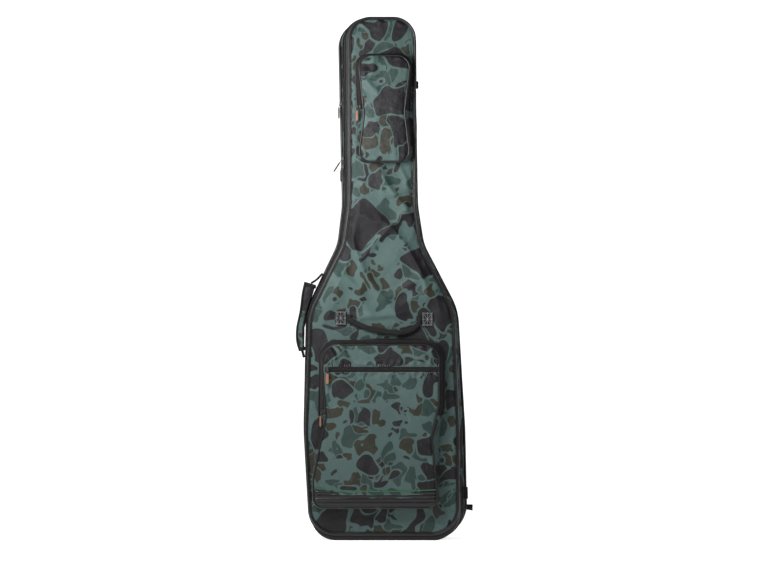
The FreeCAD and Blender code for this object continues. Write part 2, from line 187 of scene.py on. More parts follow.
def blobs(s, at, size, shift, radius, spread, gap):
    """Lobed blobs, one in each cell: how far inside its blob a point is, and the cell's chances."""
    moved = s.vector("ADD", at, shift)
    for scale, reach in ((1.0 / size, 0.66 * size), (2.3 / size, 0.17 * size)):
        push = s.vector("SUBTRACT", s.noise(moved, scale, 0.0).outputs["Color"], (0.5,) * 3)
        moved = s.vector("ADD", moved, s.vector("MULTIPLY", push, (reach * 2.0,) * 3))
    grid = {"Vector": moved, "Scale": 1.0 / size, "Randomness": 0.9}
    cells = s.node("TexVoronoi", grid)
    edges = s.node("TexVoronoi", grid, feature="DISTANCE_TO_EDGE")
    chance = s.node("SeparateColor", {0: cells.outputs["Color"]})
    reach = s.between(chance.outputs[0], 0.0, 1.0, radius - spread, radius + spread)
    inside = s.math("MINIMUM", s.math("SUBTRACT", reach, cells.outputs["Distance"]),
                    s.math("SUBTRACT", edges.outputs["Distance"], gap))
    return inside, chance


def camo_colour(s, at):
    """Small green, olive and dark blobs, and large dark ones with a clear rim of the ground."""
    small, chance = blobs(s, at, *SMALL_BLOBS)
    olive = s.math("GREATER_THAN", chance.outputs[1], OLIVE_FROM)
    dark = s.math("GREATER_THAN", chance.outputs[1], DARK_FROM)
    print_here = s.mix(dark, s.mix(olive, GREEN, OLIVE), CHARCOAL)
    colour = s.mix(s.between(small, -0.012, 0.012), TEAL, print_here)
    large, chance = blobs(s, at, *LARGE_BLOBS)
    used = s.math("LESS_THAN", chance.outputs[1], LARGE_SHARE)
    rim = s.math("MULTIPLY", s.between(large, *RIM), used)
    colour = s.mix(rim, colour, TEAL)
    return s.mix(s.math("MULTIPLY", s.between(large, -0.006, 0.006), used), colour, CHARCOAL)


def make_camo(name, rest=False, gloss=0.22, rough=0.40):
    s = Shader(name, TEAL[:3], rough, Sheen_Weight=0.02, Sheen_Roughness=0.45,
               Specular_IOR_Level=gloss)
    at = s.place(rest)
    threads = s.weave(at, 0.0007)
    fade = s.between(s.noise(at, 9.0, 3.0).outputs["Fac"], 0.3, 0.7, 0.90, 1.10)
    shade = s.math("MULTIPLY", fade, s.between(threads, -1.5, 1.5, 0.93, 1.07))
    s.set("Base Color", s.mix(1.0, camo_colour(s, at), shade, "MULTIPLY"))
    polish = s.noise(at, 60.0, 2.0).outputs["Fac"]
    s.set("Roughness", s.between(polish, 0.3, 0.7, rough, rough + 0.14))
    creases = s.bump(s.noise(at, 42.0, 3.0, 0.55).outputs["Fac"], 0.0026)
    s.set("Normal", s.bump(threads, 0.00008, 1.0, creases))
    return s.material


def make_fabric(name, colour, pitch, roughness=0.75, dust=0.35, sheen=0.03, rib=0.00012):
    """Woven cloth or tape: threads at the given pitch, with a little lint on them."""
    s = Shader(name, colour, roughness, Sheen_Weight=sheen, Sheen_Roughness=0.4,
               Specular_IOR_Level=0.22)
    at = s.place()
    threads = s.weave(at, pitch)
    lint = s.between(s.noise(at, 35.0, 4.0).outputs["Fac"], 0.35, 0.75, 1.0, 1.0 + dust)
    shade = s.math("MULTIPLY", lint, s.between(threads, -1.5, 1.5, 0.82, 1.18))
    s.set("Base Color", s.mix(1.0, (*colour, 1.0), shade, "MULTIPLY"))
    s.set("Normal", s.bump(threads, rib, 1.0, s.bump(s.noise(at, 120.0, 2.0).outputs["Fac"], 0.0006)))
    s.set("Roughness", s.between(lint, 1.0, 1.0 + dust, roughness - 0.08, roughness + 0.06))
    return s.material


def make_moulded(name, colour, roughness, grain, grain_depth, metallic=0.0, wear=(0.0, 0.0, 0.0),
                 wear_share=0.0, coat=0.0, rest=False):
    """Moulded or cast: fine grain, smears in the gloss, and rubbed patches."""
    s = Shader(name, colour, roughness, Metallic=metallic, Coat_Weight=coat, Coat_Roughness=0.35,
               Specular_IOR_Level=0.25)
    at = s.place(rest)
    rough = s.noise(at, grain, 3.0)
    smear = s.noise(at, 45.0, 4.0)
    rubbed = s.between(smear.outputs["Fac"], 0.62, 0.72, 0.0, wear_share)
    tone = s.between(smear.outputs["Fac"], 0.3, 0.7, 0.85, 1.15)
    plain = s.mix(1.0, (*colour, 1.0), tone, "MULTIPLY")
    s.set("Base Color", s.mix(rubbed, plain, (*wear, 1.0)))
    s.set("Roughness", s.between(smear.outputs["Fac"], 0.3, 0.7, roughness - 0.07, roughness + 0.1))
    s.set("Normal", s.bump(rough.outputs["Fac"], grain_depth))
    return s.material


def make_backdrop():
    """White paper, lit from behind so that only a soft shadow shows on it."""
    s = Shader("floor", (0.80, 0.80, 0.80), 0.9, Specular_IOR_Level=0.0, Emission_Strength=0.80)
    grain = s.noise(s.place(), 40.0, 2.0).outputs["Fac"]
    tone = s.between(grain, 0.3, 0.7, 0.79, 0.81)
    s.shader.inputs["Emission Color"].default_value = (1.0, 1.0, 1.0, 1.0)
    s.set("Base Color", tone)
    return s.material


def make_materials():
    black = (0.0048, 0.0042, 0.0046)
    piping = ((0.0050, 0.0044, 0.0048), 0.38, 900.0, 0.0001)
    piping_wear = {"wear": (0.035, 0.035, 0.038), "wear_share": 0.4, "coat": 0.06}
    return {
        "camo_nylon": make_camo("camo_nylon"),
        "camo_folding": make_camo("camo_folding", rest=True, rough=0.33),
        "camo_wall": make_camo("camo_wall", rest=True, gloss=0.05, rough=0.75),
        "black_nylon": make_fabric("black_nylon", black, 0.0008),
        "piping": make_moulded("piping", *piping, **piping_wear),
        "piping_folding": make_moulded("piping_folding", *piping, **piping_wear, rest=True),
        "zip_tape": make_fabric("zip_tape", (0.0044, 0.0039, 0.0041), 0.0011, rib=0.0002),
        "zip_coil": make_moulded("zip_coil", (0.0080, 0.0072, 0.0076), 0.38, 1400.0, 0.00005,
                                 wear=(0.09, 0.09, 0.09), wear_share=0.3),
        "slider_metal": make_moulded("slider_metal", (0.030, 0.029, 0.031), 0.34, 700.0, 0.00006,
                                     0.6, (0.30, 0.28, 0.26), 0.35),
        "pull_tab": make_moulded("pull_tab", (0.17, 0.080, 0.045), 0.42, 800.0, 0.0002,
                                 wear=(0.20, 0.09, 0.05), wear_share=0.6),
        "pull_frame": make_moulded("pull_frame", (0.012, 0.0115, 0.012), 0.45, 1000.0, 0.0001),
        "lining": make_fabric("lining", (0.018, 0.018, 0.020), 0.0025, 0.9, 0.5, 0.15, rib=0.0004),
        "foam": make_moulded("foam", (0.035, 0.035, 0.037), 0.9, 420.0, 0.0012,
                             wear=(0.055, 0.055, 0.058), wear_share=0.5),
        "guard_vinyl": make_moulded("guard_vinyl", (0.0046, 0.0037, 0.0039), 0.34, 500.0, 0.00025,
                                    wear=(0.025, 0.023, 0.023), wear_share=0.35, coat=0.08),
        "green_trim": make_fabric("green_trim", (0.018, 0.085, 0.034), 0.0009, 0.55),
        "buckle_plastic": make_moulded("buckle_plastic", (0.016, 0.016, 0.017), 0.33, 600.0,
                                       0.00012, wear=(0.06, 0.06, 0.06), wear_share=0.3),
        "webbing": make_fabric("webbing", (0.0044, 0.0040, 0.0043), 0.0016, 0.7, rib=0.0004),
        "thread": make_fabric("thread", (0.012, 0.012, 0.0125), 0.0006, 0.5),
        # Pale thread for the patches' stitching; on the slit its pale rows also serve as a painted highlight
        # on the puckers.
        "pale_thread_and_painted_highlight": make_fabric("pale_thread_and_painted_highlight", (0.15, 0.155, 0.16), 0.0006, 0.5),
        "floor": make_backdrop(),
    }


MATERIALS = make_materials()


# ---- Mesh building ----

def unit(v):
    return v / np.linalg.norm(v, axis=-1, keepdims=True)


def grid_faces(rows, cols, round_rows=False, round_cols=False):
    """Quads of a grid of vertices numbered row by row, closed along rows or columns."""
    i = np.arange(rows if round_rows else rows - 1)
    j = np.arange(cols if round_cols else cols - 1)
    i, j = [a.ravel() for a in np.meshgrid(i, j, indexing="ij")]
    i2, j2 = (i + 1) % rows, (j + 1) % cols
    return np.stack([i * cols + j, i * cols + j2, i2 * cols + j2, i2 * cols + j], 1)


def make_piece(name, points, faces, material, outward=None):
    """A mesh object. outward, one vector or one per point, says which way its faces look."""
    points = np.asarray(points, float).reshape(-1, 3)
    faces = [list(map(int, f)) for f in faces]
    if outward is not None:
        outward = np.broadcast_to(outward, points.shape)
        quads = np.array([f for f in faces if len(f) == 4])
        a, b, c, d = [points[quads[:, k]] for k in range(4)]
        normal = np.cross(c - a, d - b)
        if (normal * outward[quads[:, 0]]).sum() < 0:
            faces = [f[::-1] for f in faces]
    mesh = bpy.data.meshes.new(name)
    mesh.from_pydata(points.tolist(), [], faces)
    mesh.materials.append(MATERIALS[material])
    mesh.polygons.foreach_set("use_smooth", [True] * len(mesh.polygons))
    mesh.update()
    piece = bpy.data.objects.new(name, mesh)
    scene.collection.objects.link(piece)
    return piece


def keep_rest(piece):
    """Store where each point is at rest, for a material that stays with cloth that bends."""
    mesh = piece.data
    rest = mesh.attributes.new("rest", "FLOAT_VECTOR", "POINT")
    co = np.zeros(len(mesh.vertices) * 3, np.float32)
    mesh.vertices.foreach_get("co", co)
    rest.data.foreach_set("vector", co)


def thicken(piece, thickness, inner=None):
    """Give a sheet a thickness, inwards, with another material inside if one is named."""
    solid = piece.modifiers.new("thickness", "SOLIDIFY")
    solid.thickness = thickness
    solid.offset = -1.0
    if inner is not None:
        piece.data.materials.append(MATERIALS[inner])
        solid.material_offset = 1
    return piece


def soften(piece):
    made = piece.modifiers.new("smooth", "SUBSURF")
    made.levels = made.render_levels = 1
    return piece


def bevel(piece, width):
    made = piece.modifiers.new("edges", "BEVEL")
    made.width, made.segments = width, 2
    made.limit_method = "ANGLE"
    return piece


def settle(piece, body, slot, *nodes):
    """Let a piece ride on a body and stand for CAD nodes. slot, a finish, is not used."""
    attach(piece, body)
    return finish(piece, slot, *nodes)


def finish(piece, slot, *nodes):
    if nodes:
        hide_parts(*nodes)
    return piece


def follow(path, hint, closed):
    """Unit vectors along, sideways and up at each point of a path; up is near hint."""
    if closed:
        along = np.roll(path, -1, 0) - np.roll(path, 1, 0)
    else:
        along = np.gradient(path, axis=0)
    along = unit(along)
    side = unit(np.cross(along, np.broadcast_to(hint, path.shape)))
    return along, side, np.cross(side, along)


def evenly(path, pitch, closed=False):
    """Points about a pitch apart along a path."""
    line = np.vstack([path, path[:1]]) if closed else path
    length = np.concatenate([[0.0], np.cumsum(np.linalg.norm(np.diff(line, axis=0), axis=1))])
    count = max(2, int(round(length[-1] / pitch)))
    at = np.linspace(0.0, length[-1], count, endpoint=not closed)
    return np.stack([np.interp(at, length, line[:, k]) for k in range(3)], 1)


def sweep(name, path, hint, section, material, closed=False, scale=None):
    """Carry a closed section, as (side, up) offsets, along a path. scale widens each ring."""
    path = np.asarray(path, float)
    section = np.asarray(section, float)
    _, side, up = follow(path, hint, closed)
    scale = np.ones((len(path), 2)) if scale is None else np.asarray(scale, float).reshape(-1, 2)
    s = section[None, :, 0] * scale[:, :1]
    u = section[None, :, 1] * scale[:, 1:]
    points = path[:, None] + side[:, None] * s[..., None] + up[:, None] * u[..., None]
    faces = grid_faces(len(path), len(section), closed, True).tolist()
    if not closed:
        n = len(section)
        faces.append(list(range(n)))
        faces.append([len(path) * n - 1 - k for k in range(n)])
    outward = (points - path[:, None]).reshape(-1, 3)
    return make_piece(name, points, faces, material, outward)


def round_section(radius, sides=10):
    angles = np.linspace(0.0, 2.0 * math.pi, sides, endpoint=False)
    return np.stack([radius * np.cos(angles), radius * np.sin(angles)], 1)


def strap_section(half_width, half_thickness, sides=24, square=4.0):
    """A flat section with rounded edges."""
    angles = np.linspace(0.0, 2.0 * math.pi, sides, endpoint=False)
    c, s = np.cos(angles), np.sin(angles)
    return np.stack([half_width * np.sign(c) * np.abs(c) ** (2.0 / square),
                     half_thickness * np.sign(s) * np.abs(s) ** (2.0 / square)], 1)


FLOOR_GAP = 0.0002         # nothing soft is pressed below this height

# A small block with a tapered top: three rings of four corners, and the faces between them.
SQUARE = ((-1, -1), (1, -1), (1, 1), (-1, 1))
STUD = np.array([[a, b, c] for c in (0.0, 0.6, 1.0) for a, b in SQUARE], float)
STUD[8:, :2] *= 0.55
STUD_FACES = np.array([[k + i, k + (i + 1) % 4, k + 4 + (i + 1) % 4, k + 4 + i]
                       for k in (0, 4) for i in range(4)] + [[8, 9, 10, 11], [3, 2, 1, 0]])


def stand(row, facing):
    """Along, out and across at each point of a row of blocks that stand towards facing.

    With no facing, the row runs round the bag in a plane of constant y and stands outwards."""
    along = unit(np.gradient(row, axis=0))
    facing = np.cross(along, -Y) if facing is None else np.broadcast_to(facing, row.shape)
    across = unit(np.cross(facing, along))
    return along, np.cross(along, across), across


def studs(name, paths, pitch, size, material, facing=None, across=0.0, lift=0.0, phase=0.0):
    """Rows of small raised blocks along paths: zip teeth or stitches.

    size is half the length along the path, half the width across it, and the height;
    across and lift move the row off the path."""
    rows = [evenly(path, pitch) for path in paths]
    frames = [stand(row, facing) for row in rows]
    along, out, side = [np.vstack([f[k] for f in frames]) for k in range(3)]
    centre = np.vstack(rows) + out * lift + side * across + along * phase
    block = STUD * np.array(size)
    verts = (centre[:, None] + along[:, None] * block[None, :, :1]
             + side[:, None] * block[None, :, 1:2] + out[:, None] * block[None, :, 2:3])
    verts[..., 2] = np.maximum(verts[..., 2], FLOOR_GAP)
    faces = (STUD_FACES[None] + 12 * np.arange(len(centre))[:, None, None]).reshape(-1, 4)
    outward = (verts - centre[:, None] - out[:, None] * size[2] * 0.5).reshape(-1, 3)
    return make_piece(name, verts, faces, material, outward)


def ripple(points, scale, seed, stretch=(1.0, 1.0, 1.0)):
    """Smooth noise from about -1 to 1 at each point, with waves of about 1/scale metres."""
    k = np.array(stretch) * scale
    values = [noise.noise(Vector(p * k + seed)) for p in points.reshape(-1, 3)]
    return np.array(values).reshape(points.shape[:-1])


def smooth(t):
    t = np.clip(t, 0.0, 1.0)
    return t * t * (3.0 - 2.0 * t)


# ---- The bag's outline ----

# Corners of the front panel's right half: x, z and the radius that rounds them.
HALF = [(0.1720, 0.0195, 0.060), (0.1775, 0.2600, 0.500), (0.1660, 0.5450, 0.130),
        (0.0870, 0.7030, 0.130), (0.0738, 0.8000, 0.250), (0.0745, 1.2415, 0.047)]
SETTLE = 0.006             # the soft bottom has settled this far to the right
# Depth y, how far the wall stands out past the front outline, share of the twist, and
# the heights of the bottom and the top there.
STATIONS = np.array([(-0.055, 0.0, 0.0, 0.0195, 1.2415), (-0.042, 0.003, 0.12, 0.0003, 1.2440),
                     (0.0, 0.0125, 0.5, 0.0003, 1.2495), (0.040, 0.0125, 0.86, 0.0003, 1.2480),
                     (0.055, 0.012, 1.0, 0.0070, 1.2420)])
TWIST_FOOT, TWIST_TOP, TWIST_HEIGHT = 0.011, -0.011, 1.116
TOP_RIGHT, TOP_LEFT = 5, 6
FRONT_Y, BACK_Y = -0.055, 0.055
ZIP_LOW, ZIP_HIGH = 0.122, 1.087
SEAM_FRONT, SEAM_BACK = -0.0149, 0.0139    # where the zip tapes are sewn to the walls


def grow(corners, distance):
    """Move every side of a counter-clockwise outline outwards, keeping its arcs parallel."""
    grown = []
    for i, (x, z, radius) in enumerate(corners):
        here = np.array([x, z])
        a = unit(here - np.array(corners[i - 1][:2]))
        b = unit(np.array(corners[(i + 1) % len(corners)][:2]) - here)
        normal = np.array([a[1] + b[1], -a[0] - b[0]])
        move = normal * 2.0 / (normal @ normal) * distance
        turning = 1.0 if a[0] * b[1] - a[1] * b[0] > 0 else -1.0
        grown.append((x + move[0], z + move[1], radius + turning * distance))
    return grown


def corner_arcs(corners):
    """Start, centre, end and turn of the arc that rounds each corner."""
    arcs = []
    for i, (x, z, radius) in enumerate(corners):
        here = np.array([x, z])
        a = unit(here - np.array(corners[i - 1][:2]))
        b = unit(np.array(corners[(i + 1) % len(corners)][:2]) - here)
        turn = math.acos(max(-1.0, min(1.0, float(a @ b))))
        reach = radius * math.tan(turn / 2)
        centre = here + unit(b - a) * radius / math.cos(turn / 2)
        arcs.append((here - a * reach, centre, here + b * reach, turn))
    return arcs


def spacing(corners, step):
    """How many points each corner's arc and each side takes at about this step."""
    arcs = corner_arcs(corners)
    counts = []
    for i, (start, centre, end, turn) in enumerate(arcs):
        side = np.linalg.norm(arcs[(i + 1) % len(arcs)][0] - end)
        bend = np.linalg.norm(start - centre) * turn
        counts.append((max(3, round(bend / step)), max(1, round(side / step))))
    return counts


def outline(corners, counts):
    """Points round a closed outline, in the order of its corners."""
    arcs = corner_arcs(corners)
    points = []
    for i, (start, centre, end, turn) in enumerate(arcs):
        on_arc, on_side = counts[i]
        t = np.arange(on_arc)[:, None] / on_arc
        points.append(centre + (np.sin((1 - t) * turn) * (start - centre)
                                + np.sin(t * turn) * (end - centre)) / math.sin(turn))
        t = np.arange(on_side)[:, None] / on_side
        points.append(end + (arcs[(i + 1) % len(arcs)][0] - end) * t)
    return np.vstack(points)


def front_corners():
    corners = list(HALF) + [(-x, z, r) for x, z, r in reversed(HALF)]
    for i in (0, -1):
        x, z, r = corners[i]
        corners[i] = (x + SETTLE, z, r)
    return corners


def bag_corners(y, out=0.0):
    """Corners of the bag's outer surface at depth y, moved out by out."""
    flare, share, bottom, top = [np.interp(y, STATIONS[:, 0], STATIONS[:, k]) for k in range(1, 5)]
    shifted = []
    for x, z, r in grow(front_corners(), flare + out):
        twist = TWIST_FOOT + (TWIST_TOP - TWIST_FOOT) * z / TWIST_HEIGHT
        shifted.append((x + share * twist, z, r))
    for low, high in ((0, TOP_RIGHT), (-1, TOP_LEFT)):
        shifted[low] = (shifted[low][0], bottom - out, shifted[low][2])
        shifted[high] = (shifted[high][0], top + out, shifted[high][2])
    return shifted


STEP = 0.0045
COUNTS = spacing(front_corners(), STEP)


def lift_to(loop, y):
    return np.stack([loop[:, 0], np.full(len(loop), y), loop[:, 1]], 1)


def bag_loop(y, out=0.0):
    """The bag's outer line at depth y as points in space."""
    return lift_to(outline(bag_corners(y, out), COUNTS), y)


def outward_of(loop):
    """Unit vectors pointing out of a closed counter-clockwise loop in a plane of constant y."""
    along = unit(np.roll(loop, -1, 0) - np.roll(loop, 1, 0))
    return np.cross(along, -Y)


FRONT_LOOP = bag_loop(FRONT_Y)
RING = len(FRONT_LOOP)
hinge_side = (FRONT_LOOP[:, 0] > 0) & (FRONT_LOOP[:, 2] > ZIP_LOW) & (FRONT_LOOP[:, 2] < ZIP_HIGH)
HINGE_POINTS = np.flatnonzero(hinge_side)
ZIP_POINTS = np.arange(HINGE_POINTS[-1], HINGE_POINTS[0] + RING + 1) % RING


def wall(name, profile, points, material, rumple=0.0, seed=0.0, waves=26.0):
    """A strip of the bag's wall. profile is a list of (y, how far it stands out)."""
    rows, normals = [], []
    for y, out in profile:
        loop = bag_loop(y)
        normal = outward_of(loop)
        rows.append((loop + normal * out)[points])
        normals.append(normal[points])
    rows, normals = np.array(rows), np.array(normals)
    if rumple:
        middle = np.sin(np.linspace(0.0, math.pi, len(profile)))[:, None]
        wave = ripple(rows, waves, seed, (1.0, 0.7, 1.0))
        rows = rows + normals * (rumple * middle * wave)[..., None]
    rows[..., 2] = np.maximum(rows[..., 2], FLOOR_GAP)
    return make_piece(name, rows, grid_faces(len(rows), len(points)), material,
                      normals.reshape(-1, 3))


SEAM_OUT = -0.001          # how far a wall stands out where it is sewn


def rounded_profile(y0, y1, rows, bulge):
    """Depths from y0 to y1, standing out by bulge in the middle and drawn in at the seams."""
    t = np.linspace(0.0, 1.0, rows)
    out = SEAM_OUT + (bulge - SEAM_OUT) * (1.0 - np.abs(2.0 * t - 1.0) ** 3)
    return list(zip(y0 + (y1 - y0) * t, out))


def spans(loop, z):
    """Left and right x of a closed outline at the heights z."""
    middle = 0.5 * (loop[:, 0].min() + loop[:, 0].max())
    right = loop[loop[:, 0] > middle]
    left = loop[loop[:, 0] <= middle]
    right = right[np.lexsort((right[:, 0], right[:, 1]))]
    left = left[np.lexsort((-left[:, 0], left[:, 1]))]
    return np.interp(z, left[:, 1], left[:, 0]), np.interp(z, right[:, 1], right[:, 0])


def rim_distance(points, loop):
    """Distance of each (x, z) point from a closed outline."""
    rim = evenly(lift_to(loop, 0.0), 0.001, True)
    tree = kdtree.KDTree(len(rim))
    for i, p in enumerate(rim):
        tree.insert(p, i)
    tree.balance()
    distances = [tree.find((p[0], 0.0, p[1]))[2] for p in points.reshape(-1, 2)]
    return np.array(distances).reshape(points.shape[:-1])


def panel(name, corners, y, facing, height, material, step=0.0042, below=None):
    """A panel inside an outline, in the plane y, facing -1 (front) or 1 (back).

    height(x, z, d) says how far each point stands out, where d is its distance from the rim."""
    loop = outline(corners, spacing(corners, 0.003))
    low, high = loop[:, 1].min(), loop[:, 1].max()
    high = high if below is None else min(high, below)
    inner = np.linspace(0.0, 1.0, max(3, int((high - low) / step)))
    ends = 0.03 * (1 - np.cos(np.linspace(0.0, math.pi / 2, 9)))[:-1]
    z = np.unique(np.concatenate([low + ends, high - ends, low + (high - low) * inner[1:-1]]))
    z = z[np.concatenate([[True], np.diff(z) > 0.0002])]
    left, right = spans(loop, z)
    cols = max(8, int((right - left).max() / step))
    t = np.linspace(0.0, 1.0, cols)
    t = t - 0.7 * np.sin(2.0 * math.pi * t) / (2.0 * math.pi)
    x = left[:, None] + (right - left)[:, None] * t
    flat = np.stack([x, np.broadcast_to(z[:, None], x.shape)], -1)
    d = rim_distance(flat, loop)
    out = height(flat[..., 0], flat[..., 1], d)
    points = np.stack([flat[..., 0], y + facing * out, flat[..., 1]], -1)
    return make_piece(name, points, grid_faces(len(z), cols), material, facing * Y)


def crown(d, drop, reach):
    """A padded panel's edge: it curves down by drop over the last reach before its seam."""
    t = np.clip(d / reach, 0.0, 1.0)
    return drop * (np.sqrt(1.0 - (1.0 - t) ** 2) - 1.0)


def field(x, z, scale, seed, stretch=(1.0, 1.0), lean=0.0):
    """Smooth noise over a panel, turned by lean radians before it is stretched."""
    u = (x * math.cos(lean) + z * math.sin(lean)) * stretch[0]
    v = (z * math.cos(lean) - x * math.sin(lean)) * stretch[1]
    return ripple(np.stack([u, np.full(u.shape, seed), v], -1), scale, seed)


def folds(x, z, scale, seed, stretch, lean):
    """Creases: narrow ridges from 0 to 1 with broad flats between them."""
    return np.clip(1.0 - 2.6 * np.abs(field(x, z, scale, seed, stretch, lean)), 0.0, 1.0) ** 2


# ---- The shell ----

def front_height(x, z, d):
    """The lid: crowned, slack at the neck and shoulders, and gathered along its seams."""
    pillow = 0.0022 * smooth(d / 0.06)
    slack = 0.0040 * field(x, z, 9.0, 4.0) * smooth(d / 0.03)
    neck = smooth((z - 0.50) / 0.12) * smooth((0.93 - z) / 0.12)
    diagonal = 0.0080 * neck * folds(x, z, 14.0, 8.0, (1.0, 0.32), 0.5) * smooth(d / 0.022)
    crossing = 0.0060 * neck * folds(x, z, 16.0, 2.5, (1.0, 0.4), -0.7) * smooth(d / 0.022)
    handle = 0.0048 * np.exp(-((z - 0.537 - 0.06 * x) / 0.007) ** 2) * smooth((0.07 - abs(x)) / 0.03)
    puckers = 0.0030 * field(x, z, 75.0, 1.0) * np.exp(-d / 0.014) * smooth(d / 0.003)
    # the patches of the handle hold the cloth flat round its two ends
    tight = 1.0 - 0.85 * np.exp(-((abs(x - 0.005) - 0.095) / 0.030) ** 4 - ((z - 0.532) / 0.034) ** 4)
    return crown(d, 0.0035, 0.012) + puckers + tight * (pillow + slack + diagonal + crossing + handle)


def back_height(x, z, d):
    """The back: firmer, with a quilted pad where it lies on the carrier's back."""
    rows = 0.0016 * np.abs(np.sin(math.pi * z / 0.085)) ** 0.5 * smooth((0.68 - z) / 0.02)
    inside = smooth((d - 0.03) / 0.01)
    return (crown(d, 0.004, 0.014) + 0.0016 * smooth(d / 0.05) + inside * rows
            + 0.0012 * field(x, z, 8.0, 6.0) * smooth(d / 0.03)
            + 0.0008 * field(x, z, 70.0, 3.0) * np.exp(-d / 0.012) * smooth(d / 0.003))


def make_shell():
    lid = panel("lid_panel", bag_corners(FRONT_Y), FRONT_Y - 0.0005, -1, front_height, "camo_nylon")
    thicken(lid, 0.005, "lining")
    settle(lid, "lid", "camo_nylon", "front_panel")
    back = panel("back_padding", bag_corners(BACK_Y), BACK_Y, 1, back_height, "camo_nylon")
    thicken(back, 0.006, "lining")
    settle(back, "bag", "camo_nylon", "back_panel", "back_panel_neck")

    rear = wall("rear_wall", rounded_profile(SEAM_BACK, 0.0505, 10, 0.0016), ZIP_POINTS,
                "camo_wall", 0.0012, 5.0)
    keep_rest(rear)
    settle(thicken(rear, 0.005, "lining"), "bag", "camo_nylon", "gusset_rear",
           "gusset_rear_neck")
    front = wall("front_wall", rounded_profile(-0.0515, SEAM_FRONT, 9, 0.0012), ZIP_POINTS,
                 "black_nylon", 0.0010, 9.0)
    settle(thicken(front, 0.003, "lining"), "lid", "black_nylon", "front_gusset",
           "front_gusset_neck")
    side = wall("hinge_wall", rounded_profile(-0.0515, 0.0505, 24, 0.0012), HINGE_POINTS,
                "camo_wall", 0.0022, 2.0, 30.0)
    keep_rest(side)
    thicken(side, 0.004, "lining")
    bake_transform(side)
    finish(side, "camo_nylon", "hinge_gusset")


COIL_HALF = 0.0034         # half width of the closed zip chain
COIL_PITCH = 0.0030


def make_main_zip():
    line = bag_loop(-0.0005)[ZIP_POINTS]
    sides = [("front", "lid", SEAM_FRONT, -1, "main_zip_front_tape"),
             ("rear", "bag", SEAM_BACK, 1, "main_zip_rear_tape")]
    for name, body, seam, away, node in sides:
        start = -0.0005 + away * 0.0004
        profile = [(start, -0.0014), (start + away * 0.002, -0.0012), (start + away * COIL_HALF, -0.0006),
                   (seam - away * 0.003, 0.0002), (seam - away * 0.001, 0.0007), (seam, 0.0005)]
        tape = wall("zip_tape_" + name, profile, ZIP_POINTS, "zip_tape")
        settle(thicken(tape, 0.0018), body, "zip_tape", node, node + "_neck")
        teeth = studs("zip_teeth_" + name, [line], COIL_PITCH, (0.00105, 0.0016, 0.0022), "zip_coil",
                      across=-away * 0.0015, lift=-0.0004, phase=away * COIL_PITCH / 4)
        settle(teeth, body, "zip_tape")
        stitched = bag_loop(seam - away * 0.0022, 0.0004)[ZIP_POINTS]
        rows = studs("zip_stitching_" + name, [stitched], 0.0034, (0.0012, 0.00032, 0.0003), "thread")
        settle(rows, body, "zip_tape")


PIPING = 0.0032


def make_piping():
    for name, body, y, edge, node in (("front_cord", "lid", FRONT_Y, 0.0027, "front_piping"),
                                      ("back_cord", "bag", BACK_Y, -0.004, "back_piping")):
        loop = lift_to(outline(bag_corners(y, 0.0035), COUNTS), y + edge)
        wobble = 1.0 + 0.05 * ripple(loop, 40.0, 3.0)
        cord = sweep(name, loop, -Y, round_section(PIPING, 12), "piping", True,
                     np.stack([wobble, wobble], 1))
        settle(cord, body, "piping", node)
        inner = lift_to(outline(bag_corners(y, 0.0002), COUNTS), y + edge * 0.25)
        flange = sweep(name + "_flange", inner, -Y, strap_section(0.0012, 0.0014, 8, 2.0), "piping", True)
        settle(flange, body, "piping")


# ---- Pockets ----

